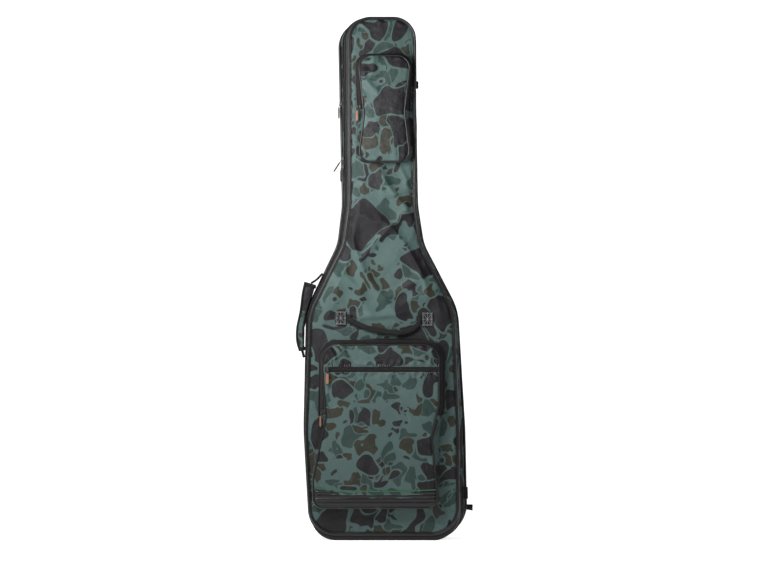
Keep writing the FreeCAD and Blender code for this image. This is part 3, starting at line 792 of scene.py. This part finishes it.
class Pocket:
    """One pocket of the lid: its base on the panel, the outline of its face, and its depths."""

    def __init__(self, prefix, flap, base, face, depth, fold, coil_y):
        self.prefix, self.flap, self.face = prefix, flap, face
        counts = spacing(base, 0.0035)
        self.base_y = FRONT_Y + 0.0005
        self.face_y = FRONT_Y - depth
        self.base_loop = lift_to(outline(base, counts), self.base_y)
        self.face_loop = lift_to(outline(face, counts), self.face_y)
        self.front_y = self.face_y - 0.003
        self.fold = fold           # height of the crease where the flap opens
        self.coil = (coil_y - self.base_y) / (self.face_y - self.base_y)
        z = self.face_loop[:, 2]
        high = np.flatnonzero(z > fold)
        first = high[0]
        self.arch = np.arange(first, high[-1] + 1)
        self.low = np.concatenate([np.arange(high[-1], len(z)), np.arange(0, first + 1)])

    def strip(self, name, shares, points, material, bulge=0.0, out=0.0, rumple=0.0):
        """A strip of the pocket's wall between two shares of its depth, 0 at the panel."""
        rows, normals = [], []
        t0, t1 = shares
        for t in np.linspace(t0, t1, 8):
            loop = self.base_loop * (1.0 - t) + self.face_loop * t
            normal = outward_of(loop)
            full = math.sin(math.pi * (t - t0) / (t1 - t0))
            offset = out + bulge * full + rumple * full * ripple(loop, 32.0, 7.0 + t)
            rows.append((loop + normal * np.reshape(offset, (-1, 1)))[points])
            normals.append(normal[points])
        return make_piece(name, rows, grid_faces(len(rows), len(points)), material,
                          np.reshape(normals, (-1, 3)))

    def line(self, t, points, out=0.0):
        loop = self.base_loop * (1.0 - t) + self.face_loop * t
        return (loop + outward_of(loop) * out)[points]

    def bend(self, piece, slot, *nodes):
        """Bake the placement of a piece that crosses the crease where the flap opens, and let it stand for
        CAD nodes.
        """
        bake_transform(piece)
        finish(piece, slot, *nodes)

    def make(self, height):
        p = self.prefix
        soft = self.strip(p + "_wall", (0.0, 1.0), self.low, "camo_nylon", 0.002, 0.0, 0.0022)
        settle(thicken(soft, 0.0025), "lid", "camo_nylon", p + "_gusset")
        gap = 0.0006 / (FRONT_Y - self.face_y)
        rear = self.strip(p + "_rear_tape", (0.0, self.coil - gap), self.arch, "zip_tape", 0.0008)
        settle(thicken(rear, 0.002), "lid", "zip_tape", p + "_zip")
        front = self.strip(p + "_front_tape", (self.coil + gap, 1.0), self.arch, "zip_tape", 0.0004)
        self.bend(thicken(front, 0.002), "zip_tape")
        line = self.line(self.coil, self.arch)
        pitch = 0.0024
        rear_teeth = studs(p + "_rear_teeth", [line], pitch, (0.0008, 0.0012, 0.0018), "zip_coil",
                           across=-0.0011, phase=pitch / 4)
        settle(rear_teeth, "lid", "zip_tape")
        front_teeth = studs(p + "_front_teeth", [line], pitch, (0.0008, 0.0012, 0.0018),
                            "zip_coil", across=0.0011, phase=-pitch / 4)
        self.bend(front_teeth, "zip_tape")

        face = panel(p + "_front", self.face, self.front_y, -1, height, "camo_folding", 0.0034)
        keep_rest(face)
        self.bend(thicken(face, 0.0025), "camo_nylon", p + "_face", self.flap + "_panel")
        rim = lift_to(self.face_loop[:, [0, 2]], self.face_y - 0.0008)
        rim = rim + outward_of(rim) * 0.0012
        cord = sweep(p + "_piping", rim, -Y, round_section(0.0023, 10), "piping_folding", True)
        keep_rest(cord)
        self.bend(cord, "piping")
        base = self.line(0.0, self.arch, 0.0006)
        base[:, 1] = self.base_y - 0.002
        binding = sweep(p + "_binding", base, -Y, round_section(0.0022, 8), "piping")
        settle(binding, "lid", "piping")


def gathers(x, z, d, scale, seed, reach):
    """Short puckers that run in from a sewn edge."""
    return field(x, z, scale, seed) * np.exp(-d / reach) * smooth(d / 0.0025)


SLIT_Z = 0.4095


def main_face_height(x, z, d):
    pillow = 0.0022 * smooth(d / 0.05)
    slack = 0.0016 * field(x, z, 11.0, 5.5) * smooth(d / 0.03)
    groove = np.exp(-((z - SLIT_Z) / 0.0068) ** 6)
    gather = 0.0066 * field(x, z, 95.0, 6.5, (1.0, 0.35)) * np.exp(-((abs(z - SLIT_Z) - 0.012) / 0.008) ** 2)
    corner = smooth((-0.06 - x) / 0.05) * smooth((z - 0.415) / 0.012)
    creases = 0.0085 * corner * folds(x, z, 24.0, 3.3, (1.0, 0.35), 0.5)
    out = crown(d, 0.003, 0.009) + pillow + slack + gather + creases + 0.0024 * (
        gathers(x, z, d, 80.0, 2.0, 0.012))
    return out * (1.0 - groove) - 0.0006 * groove


def head_face_height(x, z, d):
    pillow = 0.0022 * smooth(d / 0.03)
    slack = 0.0012 * field(x, z, 16.0, 1.5) * smooth(d / 0.02)
    corner = smooth((0.0 - x) / 0.03) * smooth((z - 1.04) / 0.03)
    creases = 0.0068 * corner * folds(x, z, 26.0, 6.3, (1.0, 0.4), 0.6)
    return crown(d, 0.003, 0.009) + pillow + slack + creases + 0.0024 * (
        gathers(x, z, d, 85.0, 4.0, 0.010))


MAIN_BASE = [(-0.165, 0.078, 0.024), (0.134, 0.078, 0.024), (0.135, 0.125, 0.090),
             (0.139, 0.255, 0.060), (0.1476, 0.330, 0.080), (0.1476, 0.480, 0.042),
             (-0.1476, 0.480, 0.042), (-0.1476, 0.400, 0.120), (-0.150, 0.295, 0.060),
             (-0.166, 0.150, 0.090)]
MAIN_FACE = [(-0.161, 0.083, 0.022), (0.129, 0.083, 0.022), (0.1285, 0.125, 0.090),
             (0.1165, 0.255, 0.060), (0.134, 0.330, 0.080), (0.1345, 0.467, 0.036),
             (-0.139, 0.467, 0.036), (-0.139, 0.400, 0.120), (-0.131, 0.295, 0.060),
             (-0.162, 0.150, 0.090)]
HEAD_BASE = [(-0.064, 0.900, 0.025), (0.070, 0.900, 0.025), (0.065, 1.015, 0.200),
             (0.070, 1.157, 0.030), (-0.064, 1.157, 0.030), (-0.058, 1.015, 0.200)]
HEAD_FACE = [(-0.055, 0.903, 0.024), (0.066, 0.903, 0.024), (0.052, 1.018, 0.090),
             (0.067, 1.152, 0.028), (-0.056, 1.152, 0.028), (-0.041, 1.012, 0.090)]
GUARD_TOP = 0.124


def guard_height(x, z, d):
    """Ribbed vinyl: broad ridges along the foot of the pocket, worn flat in the middle."""
    ribs = np.abs(np.sin(math.pi * (z - 0.080) / 0.0085)) ** 0.6
    ends = 0.45 + 0.55 * smooth((abs(x + 0.016) - 0.05) / 0.06)
    return crown(d, 0.003, 0.008) + 0.0016 * ribs * ends + 0.001 * field(x, z, 14.0, 9.0, (1.0, 0.4))


def make_pockets():
    main = Pocket("main_pocket", "main_flap", MAIN_BASE, MAIN_FACE, 0.032, 0.3003, -0.076)
    main.make(main_face_height)
    head = Pocket("headstock_pocket", "headstock_flap", HEAD_BASE, HEAD_FACE, 0.027, 1.0253, -0.072)
    head.make(head_face_height)

    guard = panel("vinyl_guard", grow(MAIN_FACE, -0.0012), main.front_y - 0.0008, -1, guard_height,
                  "guard_vinyl", 0.0016, below=GUARD_TOP)
    settle(thicken(guard, 0.0015), "lid", "guard_vinyl", "pocket_guard")
    low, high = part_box("guard_trim")
    t = np.linspace(0.0, 1.0, 60)
    trim = np.stack([low.x + (high.x - low.x) * t, np.full(60, low.y + 0.0006),
                     GUARD_TOP + 0.001 - 0.004 * np.sin(math.pi * t) + 0.003 * (1 - t) ** 4], 1)
    settle(sweep("green_cord", trim, -Y, round_section(0.0013, 8), "green_trim"), "lid",
           "green_trim", "guard_trim")
    make_slit()


def make_slit():
    low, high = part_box("slit_zip")
    t = np.linspace(0.0, 1.0, 50)
    front = low.y + 0.0004
    line = np.stack([low.x + (high.x - low.x) * t, np.full(50, front), np.full(50, SLIT_Z)], 1)
    tape = sweep("slit_tape", line, -Y, strap_section(0.0060, 0.0007, 16, 4.0), "zip_tape")
    settle(tape, "main_flap", "zip_tape", "slit_zip")
    for row, across in (("upper", 0.0011), ("lower", -0.0011)):
        teeth = studs("slit_teeth_" + row, [line - Y * 0.0008], 0.0022, (0.0007, 0.0012, 0.0014),
                      "zip_coil", -Y)
        teeth.location.z = across
        settle(teeth, "main_flap", "zip_tape")
    # Pale rows of thread above and below the slit: real stitching, and also a painted highlight standing in
    # for the glints on the puckers there.
    seams = []
    for height in (0.0078, -0.0078, 0.0105):
        wave = 0.0004 * np.sin(t * 90.0)
        seams.append(line + np.stack([0 * t, 0 * t - 0.0012, height + wave], 1))
    settle(studs("slit_stitching_and_painted_highlights", seams, 0.0052, (0.0011, 0.00045, 0.0005), "pale_thread_and_painted_highlight", -Y),
           "main_flap", "zip_tape")


# ---- Webbing, handles and straps ----

def curve_through(points, count):
    """A smooth line through a few points."""
    p = np.asarray(points, float)
    p = np.vstack([2 * p[0] - p[1], p, 2 * p[-1] - p[-2]])
    line = []
    for t in np.linspace(0.0, len(p) - 3 - 1e-9, count):
        i = int(t)
        f = t - i
        a, b, c, d = p[i:i + 4]
        line.append(0.5 * (2 * b + (c - a) * f + (2 * a - 5 * b + 4 * c - d) * f ** 2
                           + (3 * b - a - 3 * c + d) * f ** 3))
    return np.array(line)


def stitch_line(p, q, y, count):
    """A straight row of points from p to q, each (x, z), at depth y."""
    return np.array([[p[0] + (q[0] - p[0]) * t, y, p[1] + (q[1] - p[1]) * t]
                     for t in np.linspace(0, 1, count)])


def slab(name, low, high, material, rounding=0.0006, cuts=6, sag=0.0):
    """A flat block of webbing or padding: rounded edges and a slightly uneven face."""
    low, high = np.array(low, float), np.array(high, float)
    section = strap_section(1.0, 1.0, 4 * cuts, 5.0)
    size = (high - low) / 2
    thin = int(np.argmin(size))
    u, v = [k for k in range(3) if k != thin]
    rings = [(-1.0, 1.0 - rounding / size[u]), (-1.0 + rounding / size[thin], 1.0),
             (1.0 - rounding / size[thin], 1.0), (1.0, 1.0 - rounding / size[u])]
    points = []
    for depth, spread in [(-1.0, 0.0), (-1.0, 0.5)] + rings + [(1.0, 0.5), (1.0, 0.0)]:
        ring = np.zeros((len(section), 3))
        ring[:, thin] = depth * size[thin]
        ring[:, u] = section[:, 0] * size[u] * spread
        ring[:, v] = section[:, 1] * size[v] * spread
        points.append(ring + (low + high) / 2)
    points = np.array(points)
    wave = ripple(points, 90.0, 2.0)
    points[..., thin] += sag * wave
    middle = (low + high) / 2
    return make_piece(name, points, grid_faces(len(points), len(section), False, True), material,
                      (points - middle).reshape(-1, 3))


HANDLE_ROUTE = [(-0.082, -0.0625, 0.531), (-0.071, -0.064, 0.524), (-0.040, -0.066, 0.509),
                (-0.005, -0.067, 0.501), (0.031, -0.067, 0.4965), (0.055, -0.066, 0.498),
                (0.078, -0.0645, 0.508), (0.092, -0.0625, 0.528)]
PATCHES = [("left", -0.112, -0.084, 0.513, 0.549), ("right", 0.094, 0.122, 0.510, 0.546)]


def make_front_handle():
    line = curve_through(HANDLE_ROUTE, 90)
    t = np.linspace(0.0, 1.0, 90)
    end = np.abs(2 * t - 1) ** 5
    rolled = np.stack([1.0 - 0.32 * end, 1.0 - 0.15 * end], 1)
    grip = sweep("rolled_handle", line, -Y, strap_section(0.0063, 0.0035, 20, 2.6), "webbing",
                 scale=rolled)
    settle(grip, "front_handle", "webbing", "front_handle_webbing")
    edge = (line - Y * 0.0035)[13:-13]
    settle(studs("handle_stitching", [edge + Z * 0.0030, edge - Z * 0.0030], 0.0042,
                 (0.0013, 0.0003, 0.0003), "thread", -Y), "front_handle", "webbing")
    made = []
    for name, x0, x1, z0, z1 in PATCHES:
        inner = x1 if name == "left" else x0
        toward = 1.0 if name == "left" else -1.0
        patch = slab("patch_" + name, (x0, FRONT_Y - 0.0045, z0), (x1, FRONT_Y - 0.0005, z1),
                     "webbing", 0.0009, 8, 0.0003)
        made.append(patch)
        y = FRONT_Y - 0.0047
        a, b = x0 + 0.003, x1 - 0.003
        c, d = z0 + 0.003, z1 - 0.003
        corners = [(a, c), (b, c), (b, d), (a, d)]
        lines = []
        for inset in (0.0, 0.0022):
            ring = [(px + inset * (1 if px == a else -1), pz + inset * (1 if pz == c else -1))
                    for px, pz in corners]
            lines += [(ring[i], ring[(i + 1) % 4]) for i in range(4)]
        lines += [(corners[0], corners[2]), (corners[1], corners[3]),
                  ((a, (c + d) / 2), (b, (c + d) / 2))]
        lines += [(((a + b) / 2, c), ((a + b) / 2, d))]
        paths = [stitch_line(p, q, y, 8) for p, q in lines]
        thread = studs("patch_stitching_" + name, paths, 0.0031, (0.00125, 0.0005, 0.0005),
                       "pale_thread_and_painted_highlight", -Y)
        settle(thread, "lid", "webbing")
        left, right = sorted((inner, inner + toward * 0.012))
        mouth = slab("handle_mouth_" + name, (left, FRONT_Y - 0.0075, z0 + 0.006),
                     (right, FRONT_Y - 0.0008, z1 - 0.009), "webbing", 0.001, 6)
        settle(mouth, "lid", "webbing")
    settle(made[0], "lid", "webbing", "handle_patches")
    settle(made[1], "lid", "webbing")


def pad_from(name, node, material, voxel, inset, pressure, cap, grain=0.0):
    """A soft pad that starts as a slightly smaller copy of its CAD solid and swells."""
    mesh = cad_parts[node].data.copy()
    mesh.name = name
    mesh.materials.clear()
    mesh.materials.append(MATERIALS[material])
    pad = bpy.data.objects.new(name, mesh)
    scene.collection.objects.link(pad)
    remesh = pad.modifiers.new("remesh", "REMESH")
    remesh.mode, remesh.voxel_size = "VOXEL", voxel
    if inset:
        shrink = pad.modifiers.new("inset", "DISPLACE")
        shrink.strength, shrink.mid_level = -inset, 0.0
    relax = pad.modifiers.new("relax", "SMOOTH")
    relax.factor, relax.iterations = 0.5, 4
    bake_shape(pad)
    if pressure:
        swell(pad, pressure, cap)
    mesh = pad.data
    co = np.zeros(len(mesh.vertices) * 3)
    mesh.vertices.foreach_get("co", co)
    co = co.reshape(-1, 3)
    if grain:
        normals = np.array([v.normal[:] for v in mesh.vertices])
        co = co + normals * (grain * ripple(co, 60.0, 3.0))[:, None]
        mesh.vertices.foreach_set("co", co.ravel())
    mesh.polygons.foreach_set("use_smooth", [True] * len(mesh.polygons))
    mesh.update()
    return soften(pad)


def bake_shape(piece):
    """Make what the modifiers give the piece's own mesh."""
    graph = bpy.context.evaluated_depsgraph_get()
    made = bpy.data.meshes.new_from_object(piece.evaluated_get(graph))
    piece.modifiers.clear()
    piece.data = made


SWELL_FRAMES = 20


def swell(piece, pressure, cap):
    """Fill a closed pad by cloth simulation. No point moves further than cap."""
    mesh = piece.data
    before = np.zeros(len(mesh.vertices) * 3)
    mesh.vertices.foreach_get("co", before)
    cloth = piece.modifiers.new("cloth", "CLOTH")
    settings = cloth.settings
    settings.quality = 4
    settings.mass = 0.3
    settings.tension_stiffness = settings.compression_stiffness = 20.0
    settings.bending_stiffness = 2.0
    settings.use_pressure = True
    settings.uniform_pressure_force = pressure
    settings.effector_weights.gravity = 0.0
    cloth.point_cache.frame_start, cloth.point_cache.frame_end = 1, SWELL_FRAMES
    for f in range(1, SWELL_FRAMES + 1):
        scene.frame_set(f)
    graph = bpy.context.evaluated_depsgraph_get()
    after = np.zeros(len(mesh.vertices) * 3)
    piece.evaluated_get(graph).data.vertices.foreach_get("co", after)
    move = (after - before).reshape(-1, 3)
    length = np.linalg.norm(move, axis=1, keepdims=True)
    move *= np.minimum(1.0, cap / np.maximum(length, 1e-9))
    piece.modifiers.remove(cloth)
    mesh.vertices.foreach_set("co", before + move.ravel())
    mesh.update()
    scene.frame_set(1)


GRIP_HALF = 0.0140         # half width of the side handle's grip, front to back
# height, x of the middle and half thickness
GRIP_ROUTE = [(0.611, -0.1730, 0.0135), (0.585, -0.1803, 0.0117), (0.545, -0.1887, 0.0083),
              (0.505, -0.1962, 0.0088), (0.475, -0.1962, 0.0088), (0.453, -0.1930, 0.0060)]


def make_side_handle():
    grip = pad_from("side_grip", "side_handle_grip", "camo_nylon", 0.003, 0.0008, 3.0, 0.003, 0.0008)
    settle(grip, "side_handle", "camo_nylon", "side_handle_grip")
    route = curve_through([(x, 0.030, z) for z, x, _ in GRIP_ROUTE], 60)
    half = curve_through([(h, 0.0, 0.0) for _, _, h in GRIP_ROUTE], 60)[:, :1]
    out = unit(np.cross(np.gradient(route, axis=0), Y))
    out = out * np.where(out[:, :1] > 0, -1.0, 1.0)
    for name, front, beside, inset in (("front", -1.0, 1.0, 0.0006), ("rear", 1.0, 1.0, 0.0006),
                                       ("front_inner", -1.0, -1.0, 0.0029),
                                       ("rear_inner", 1.0, -1.0, 0.0029)):
        edge = route + Y * front * (GRIP_HALF - inset) + out * (half - inset) * beside
        cord = sweep("grip_binding_" + name, edge, Y, round_section(0.0024, 8), "webbing")
        settle(cord, "side_handle", "webbing")
    for name, at in (("top", 1), ("foot", -2)):
        ring = []
        for angle in np.linspace(0.0, 2 * math.pi, 40, endpoint=False):
            c, s = math.cos(angle), math.sin(angle)
            across = GRIP_HALF * 1.04 * np.sign(c) * abs(c) ** 0.5
            beside = (half[at] + 0.0006) * np.sign(s) * abs(s) ** 0.5
            ring.append(route[at] + Y * across + out[at] * beside)
        band = sweep("grip_band_" + name, np.array(ring), Z, strap_section(0.0011, 0.0045, 10, 3.0),
                     "webbing", True)
        settle(band, "side_handle", "webbing")
    top = curve_through([(-0.171, 0.030, 0.6136), (-0.158, 0.030, 0.622), (-0.1435, 0.030, 0.637)], 24)
    foot = curve_through([(-0.193, 0.030, 0.4526), (-0.190, 0.030, 0.442), (-0.1885, 0.030, 0.4345)], 16)
    webbing = sweep("side_webbing_top", top, Y, strap_section(0.0026, 0.011, 24, 5.0), "webbing")
    settle(webbing, "side_handle", "webbing", "side_handle_webbing")
    settle(sweep("side_webbing_foot", foot, Y, strap_section(0.0030, 0.011, 24, 5.0), "webbing"),
           "side_handle", "webbing")
    anchors = pad_from("side_anchors", "side_handle_anchors", "webbing", 0.0012, 0.0, 0.0, 0.0, 0.0002)
    settle(anchors, "bag", "webbing", "side_handle_anchors")


PAD_ROUTE = [(-0.037, 0.072, 0.688), (-0.048, 0.088, 0.640), (-0.066, 0.100, 0.560),
             (-0.088, 0.106, 0.470), (-0.108, 0.103, 0.390), (-0.120, 0.096, 0.335)]
PAD_WIDTHS = [0.020, 0.030, 0.031, 0.031, 0.030, 0.020]
LOWER_ROUTE = [(-0.131, 0.088, 0.291), (-0.141, 0.083, 0.240), (-0.152, 0.074, 0.170),
               (-0.160, 0.0635, 0.112)]
STUB_ROUTE = [(-0.034, 0.0602, 0.715), (-0.0355, 0.065, 0.700), (-0.0364, 0.070, 0.693)]
TAIL_ROUTE = [(-0.1262, 0.0945, 0.318), (-0.128, 0.093, 0.300), (-0.133, 0.094, 0.270),
              (-0.137, 0.091, 0.232)]
CORNER_ROUTE = [(0.1795, 0.0576, 0.0730), (0.1950, 0.0578, 0.0716), (0.2060, 0.0574, 0.0710),
                (0.2195, 0.0577, 0.0695)]
STRAP = strap_section(0.0125, 0.0011, 20, 6.0)      # 25 mm webbing
BACK_ZIP_Y, BACK_ZIP_LOW, BACK_ZIP_HIGH = 0.043, 0.832, 1.093


def make_strap(name, side):
    body = name + "_strap"
    mirror = np.array([side, 1.0, 1.0])
    pad = pad_from(name + "_shoulder_pad", name + "_strap_pad", "camo_nylon", 0.004, 0.0012,
                   4.0, 0.004, 0.0010)
    settle(pad, body, "camo_nylon", name + "_strap_pad")
    line = curve_through(PAD_ROUTE, 70) * mirror
    widths = curve_through(np.array([(w, 0.0, 0.0) for w in PAD_WIDTHS]), 70)[:, 0]
    _, across, outward = follow(line, Y, False)
    for edge in (-1.0, 1.0):
        rim = line + across * (edge * (widths - 0.0005))[:, None]
        cord = sweep(f"{name}_pad_binding_{'a' if edge < 0 else 'b'}", rim, Y,
                     strap_section(0.0018, 0.0036, 10, 2.5), "webbing")
        settle(cord, body, "webbing")
    over = line[4:-3] + outward[4:-3] * 0.0072
    top = sweep(name + "_pad_webbing", over, Y, STRAP, "webbing")
    settle(top, body, "webbing")
    seam = [over + across[4:-3] * k + outward[4:-3] * 0.0012 for k in (-0.0108, 0.0108)]
    settle(studs(name + "_pad_stitching", seam, 0.0038, (0.0013, 0.00035, 0.0003), "thread", Y),
           body, "webbing")
    lower = curve_through(LOWER_ROUTE, 60) * mirror
    settle(sweep(name + "_lower_webbing", lower, Y, strap_section(0.0125, 0.0012, 20, 6.0), "webbing"),
           body, "webbing", name + "_strap_webbing")
    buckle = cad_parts[name + "_strap_adjuster"]
    buckle.data.materials.clear()
    buckle.data.materials.append(MATERIALS["buckle_plastic"])
    bevel(buckle, 0.0008)
    tail = curve_through(TAIL_ROUTE, 30) * mirror
    settle(sweep(name + "_webbing_tail", tail, Y, STRAP, "webbing"), body, "webbing")
    stub = curve_through(STUB_ROUTE, 20) * mirror
    piece = sweep(name + "_top_stub", stub, Y, strap_section(0.018, 0.0013, 20, 6.0), "webbing")
    settle(piece, "bag", "webbing", *(["strap_top_webbing"] if side > 0 else []))


def make_strap_fixings():
    low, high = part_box("strap_top_patch")
    patch = slab("top_patch", low, high, "webbing", 0.0012, 12, 0.0003)
    settle(patch, "bag", "webbing", "strap_top_patch")
    y = high.y + 0.0003
    seams = []
    for inset in (0.003, 0.0055):
        a, b, c, d = low.x + inset, high.x - inset, low.z + inset, high.z - inset
        for p, q in (((a, c), (b, c)), ((b, c), (b, d)), ((b, d), (a, d)), ((a, d), (a, c))):
            seams.append(stitch_line(p, q, y, 20))
    settle(studs("top_patch_stitching", seams, 0.0038, (0.0013, 0.00035, 0.0004), "thread", Y),
           "bag", "webbing")
    tabs = pad_from("corner_tabs", "strap_corner_tabs", "webbing", 0.0014, 0.0, 0.0, 0.0, 0.0003)
    settle(tabs, "bag", "webbing", "strap_corner_tabs")
    run = curve_through(CORNER_ROUTE, 40)
    t = np.linspace(0.0, 1.0, 40)
    narrow = np.stack([1.0 - 0.34 * np.sin(math.pi * np.clip(t * 0.62, 0.0, 1.0)), np.ones(40)], 1)
    strip = sweep("corner_webbing_end", run, -Y, strap_section(0.0100, 0.0016, 20, 5.0), "webbing",
                  scale=narrow)
    settle(strip, "bag", "webbing")


def make_back_zip():
    line = bag_loop(BACK_ZIP_Y, 0.0003)
    run = np.flatnonzero((line[:, 0] < 0) & (line[:, 2] > BACK_ZIP_LOW) & (line[:, 2] < BACK_ZIP_HIGH))
    line = line[run]
    tape = sweep("back_zip_tape", line, -Y, strap_section(0.0007, 0.0058, 14, 4.0), "zip_tape")
    settle(tape, "bag", "zip_tape", "back_zip")
    for across in (-0.0011, 0.0011):
        settle(studs(f"back_teeth_{'a' if across < 0 else 'b'}", [line], 0.0022,
                     (0.0007, 0.0012, 0.0015), "zip_coil", across=across, phase=across / 2),
               "bag", "zip_tape")


def make_shoulder_straps():
    for name, side in (("left", 1.0), ("right", -1.0)):
        make_strap(name, side)
    make_strap_fixings()
    make_back_zip()


# ---- Zip sliders ----

PIN = Vector((0.0, -0.0075, -0.0045))      # where a pull swings, from the slider's middle
PULL_REACH = 0.0174        # from the pin to the middle of the pull
SLIDER_DEPTH = 0.0066
# slider, turn about Z and how far the pull hangs out, in degrees
SLIDERS = [("upper_main", -90.0, 32.0), ("lower_main", -90.0, 0.0), ("back", -90.0, 0.0),
           ("headstock", -52.0, 0.0), ("flap", -62.0, 0.0), ("slit", 0.0, 0.0)]


def slider_place(name, turn):
    """The slider's middle, with its back on the zip, from the box of its CAD node."""
    low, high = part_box(name + "_slider")
    middle = (low + high) / 2
    away = Vector((math.sin(math.radians(turn)), -math.cos(math.radians(turn)), 0.0))
    return Vector(middle) - away * (SLIDER_DEPTH / 2)


def lens(name, outline_points, thickness, dome, material):
    """A plate from its outline in x and z, facing -Y, with rounded rims and a slight dome."""
    ring = np.asarray(outline_points, float)
    rings = [(1.0, 0.0), (1.0, 0.65), (0.93, 0.92), (0.80, 1.0), (0.45, 1.0 + dome), (0.0, 1.0 + dome * 1.2)]
    points = []
    for spread, depth in rings:
        y = np.full(len(ring), -thickness * depth)
        points.append(np.stack([ring[:, 0] * spread, y, ring[:, 1] * spread], 1))
    points = np.array(points)
    faces = grid_faces(len(points), len(ring), False, True).tolist() + [list(range(len(ring)))]
    return make_piece(name, points, faces, material, (points + np.array([0, 0.001, 0])).reshape(-1, 3))


def soft_rectangle(half_x, half_z, taper=0.0, sides=36, square=4.5):
    angles = np.linspace(0.0, 2.0 * math.pi, sides, endpoint=False)
    c, s = np.cos(angles), np.sin(angles)
    x = half_x * np.sign(c) * np.abs(c) ** (2.0 / square)
    z = half_z * np.sign(s) * np.abs(s) ** (2.0 / square)
    return np.stack([x * (1.0 + taper * z / half_z), z], 1)


def make_slider(name, turn, swing):
    spot = slider_place(name, turn)
    turned = Matrix.Translation(spot) @ Matrix.Rotation(math.radians(turn), 4, "Z")
    hung = (turned @ Matrix.Translation(PIN) @ Matrix.Rotation(math.radians(-swing), 4, "X")
            @ Matrix.Translation(-PIN))
    body, pull = name + "_slider", name + "_pull"

    plate = lens(body + "_plate", soft_rectangle(0.0045, 0.0060, 0.12), 0.0036, 0.04, "slider_metal")
    arch = [(0.0, -0.0030, 0.0042), (0.0, -0.0052, 0.0040), (0.0, -0.0064, 0.0024), (0.0, -0.0066, 0.0),
            (0.0, -0.0064, -0.0024), (0.0, -0.0052, -0.0040), (0.0, -0.0030, -0.0042)]
    bridge = sweep(body + "_bridge", curve_through(arch, 28), X, strap_section(0.0005, 0.0014, 12, 3.0),
                   "slider_metal")
    for piece, nodes in ((plate, [body]), (bridge, [])):
        piece.matrix_world = turned
        settle(piece, body, "slider_metal", *nodes)

    t = np.linspace(0.0, 2.0 * math.pi, 30, endpoint=False)
    eye = np.stack([0.0026 * np.sign(np.cos(t)) * np.abs(np.cos(t)) ** 0.6,
                    np.full(30, PIN.y) + 0.0016 * smooth(np.sin(t)),
                    PIN.z - 0.0006 + 0.0030 * np.sin(t)], 1)
    ring = sweep(pull + "_ring", eye, Y, round_section(0.00055, 8), "slider_metal", True)
    frame_piece = lens(pull + "_frame", soft_rectangle(0.0046, 0.0140, 0.0, 44, 6.0), 0.0022, 0.0,
                       "pull_frame")
    face = soft_rectangle(0.0036, 0.0122, 0.0, 40, 6.0)
    insert = lens(pull + "_insert", face, 0.0007, 0.25, "pull_tab")
    back = lens(pull + "_insert_back", face, 0.0007, 0.25, "pull_tab")
    middle = Vector((0.0, PIN.y, PIN.z - PULL_REACH))
    hold = Matrix.Translation(middle + Vector((0.0, 0.0011, 0.0)))
    frame_piece.matrix_world = hung @ hold
    insert.matrix_world = hung @ Matrix.Translation(middle - Vector((0.0, 0.0010, 0.0)))
    back.matrix_world = (hung @ Matrix.Translation(middle + Vector((0.0, 0.0010, 0.0)))
                         @ Matrix.Rotation(math.pi, 4, "Z"))
    ring.matrix_world = hung
    settle(frame_piece, pull, "pull_tab", pull)
    for piece in (insert, back, ring):
        settle(piece, pull, "pull_tab")


# ---- Inside ----

def quilt(x, z, d):
    """Diamond quilting in a plush lining."""
    a = np.abs(np.sin(math.pi * (x + z) / 0.070))
    b = np.abs(np.sin(math.pi * (x - z) / 0.070))
    return crown(d, 0.0012, 0.006) + 0.0010 * np.minimum(a, b) ** 0.5 + 0.0005 * field(x, z, 20.0, 1.0)


def make_inside():
    for name, node, body, y, facing, grown in (
            ("lid_quilt", "lid_lining", "lid", -0.0478, 1, -0.008),
            ("back_quilt", "back_lining", "bag", 0.0462, -1, -0.007)):
        base_y = -0.049 if body == "lid" else 0.047
        piece = panel(name, bag_corners(base_y, grown), y, facing, quilt, "lining", 0.006)
        settle(thicken(piece, 0.0012), body, "lining", node)
    end = pad_from("end_cushion", "end_pad", "foam", 0.006, 0.001, 0.0, 0.0, 0.0008)
    settle(end, "bag", "foam", "end_pad")
    block = pad_from("neck_cradle", "neck_block", "foam", 0.003, 0.0004, 0.0, 0.0, 0.0004)
    settle(block, "bag", "foam", "neck_block")
    for side in ("left", "right"):
        node = "neck_strap_" + side
        low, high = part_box(node)
        settle(slab(node + "_webbing", low, high, "webbing", 0.0007, 8, 0.0003), node, "webbing", node)
        y = low.y - 0.0001
        ends = [np.array([[low.x + 0.004 + k, y, low.z + 0.003 + (high.z - low.z - 0.006) * s]
                          for s in np.linspace(0, 1, 10)]) for k in (0.0, high.x - low.x - 0.008)]
        settle(studs(node + "_stitching", ends, 0.0034, (0.0012, 0.0003, 0.0003), "thread", -Y),
               node, "webbing")


def make_tabs():
    for name, node in (("upper_tab", "zip_tab_upper"), ("lower_tab", "zip_tab_lower")):
        tab = pad_from(name, node, "webbing", 0.0012, 0.0, 0.0, 0.0, 0.0006)
        settle(tab, "bag", "webbing", node)


def make_floor():
    """A white sweep: floor, curve and wall in one surface, so that no horizon shows."""
    half, near, bend_y, radius, top = 16.0, -16.0, 9.0, 2.5, 12.0
    turn = np.linspace(0.0, math.pi / 2, 24)
    y = np.concatenate([np.linspace(near, bend_y, 24)[:-1], bend_y + radius * np.sin(turn),
                        np.full(8, bend_y + radius)])
    z = np.concatenate([np.zeros(23), radius * (1.0 - np.cos(turn)), np.linspace(radius, top, 9)[1:]])
    x = np.linspace(-half, half, 12)
    points = np.stack([np.broadcast_to(x[:, None], (12, len(y))), np.broadcast_to(y, (12, len(y))),
                       np.broadcast_to(z, (12, len(z)))], -1)
    make_piece("floor", points, grid_faces(12, len(y)), "floor", Z - Y)


make_camera()
make_studio()
make_floor()
make_shell()
make_main_zip()
make_piping()
make_pockets()
make_front_handle()
make_side_handle()
make_shoulder_straps()
for slider, turn, swing in SLIDERS:
    make_slider(slider, turn, swing)
make_inside()
make_tabs()
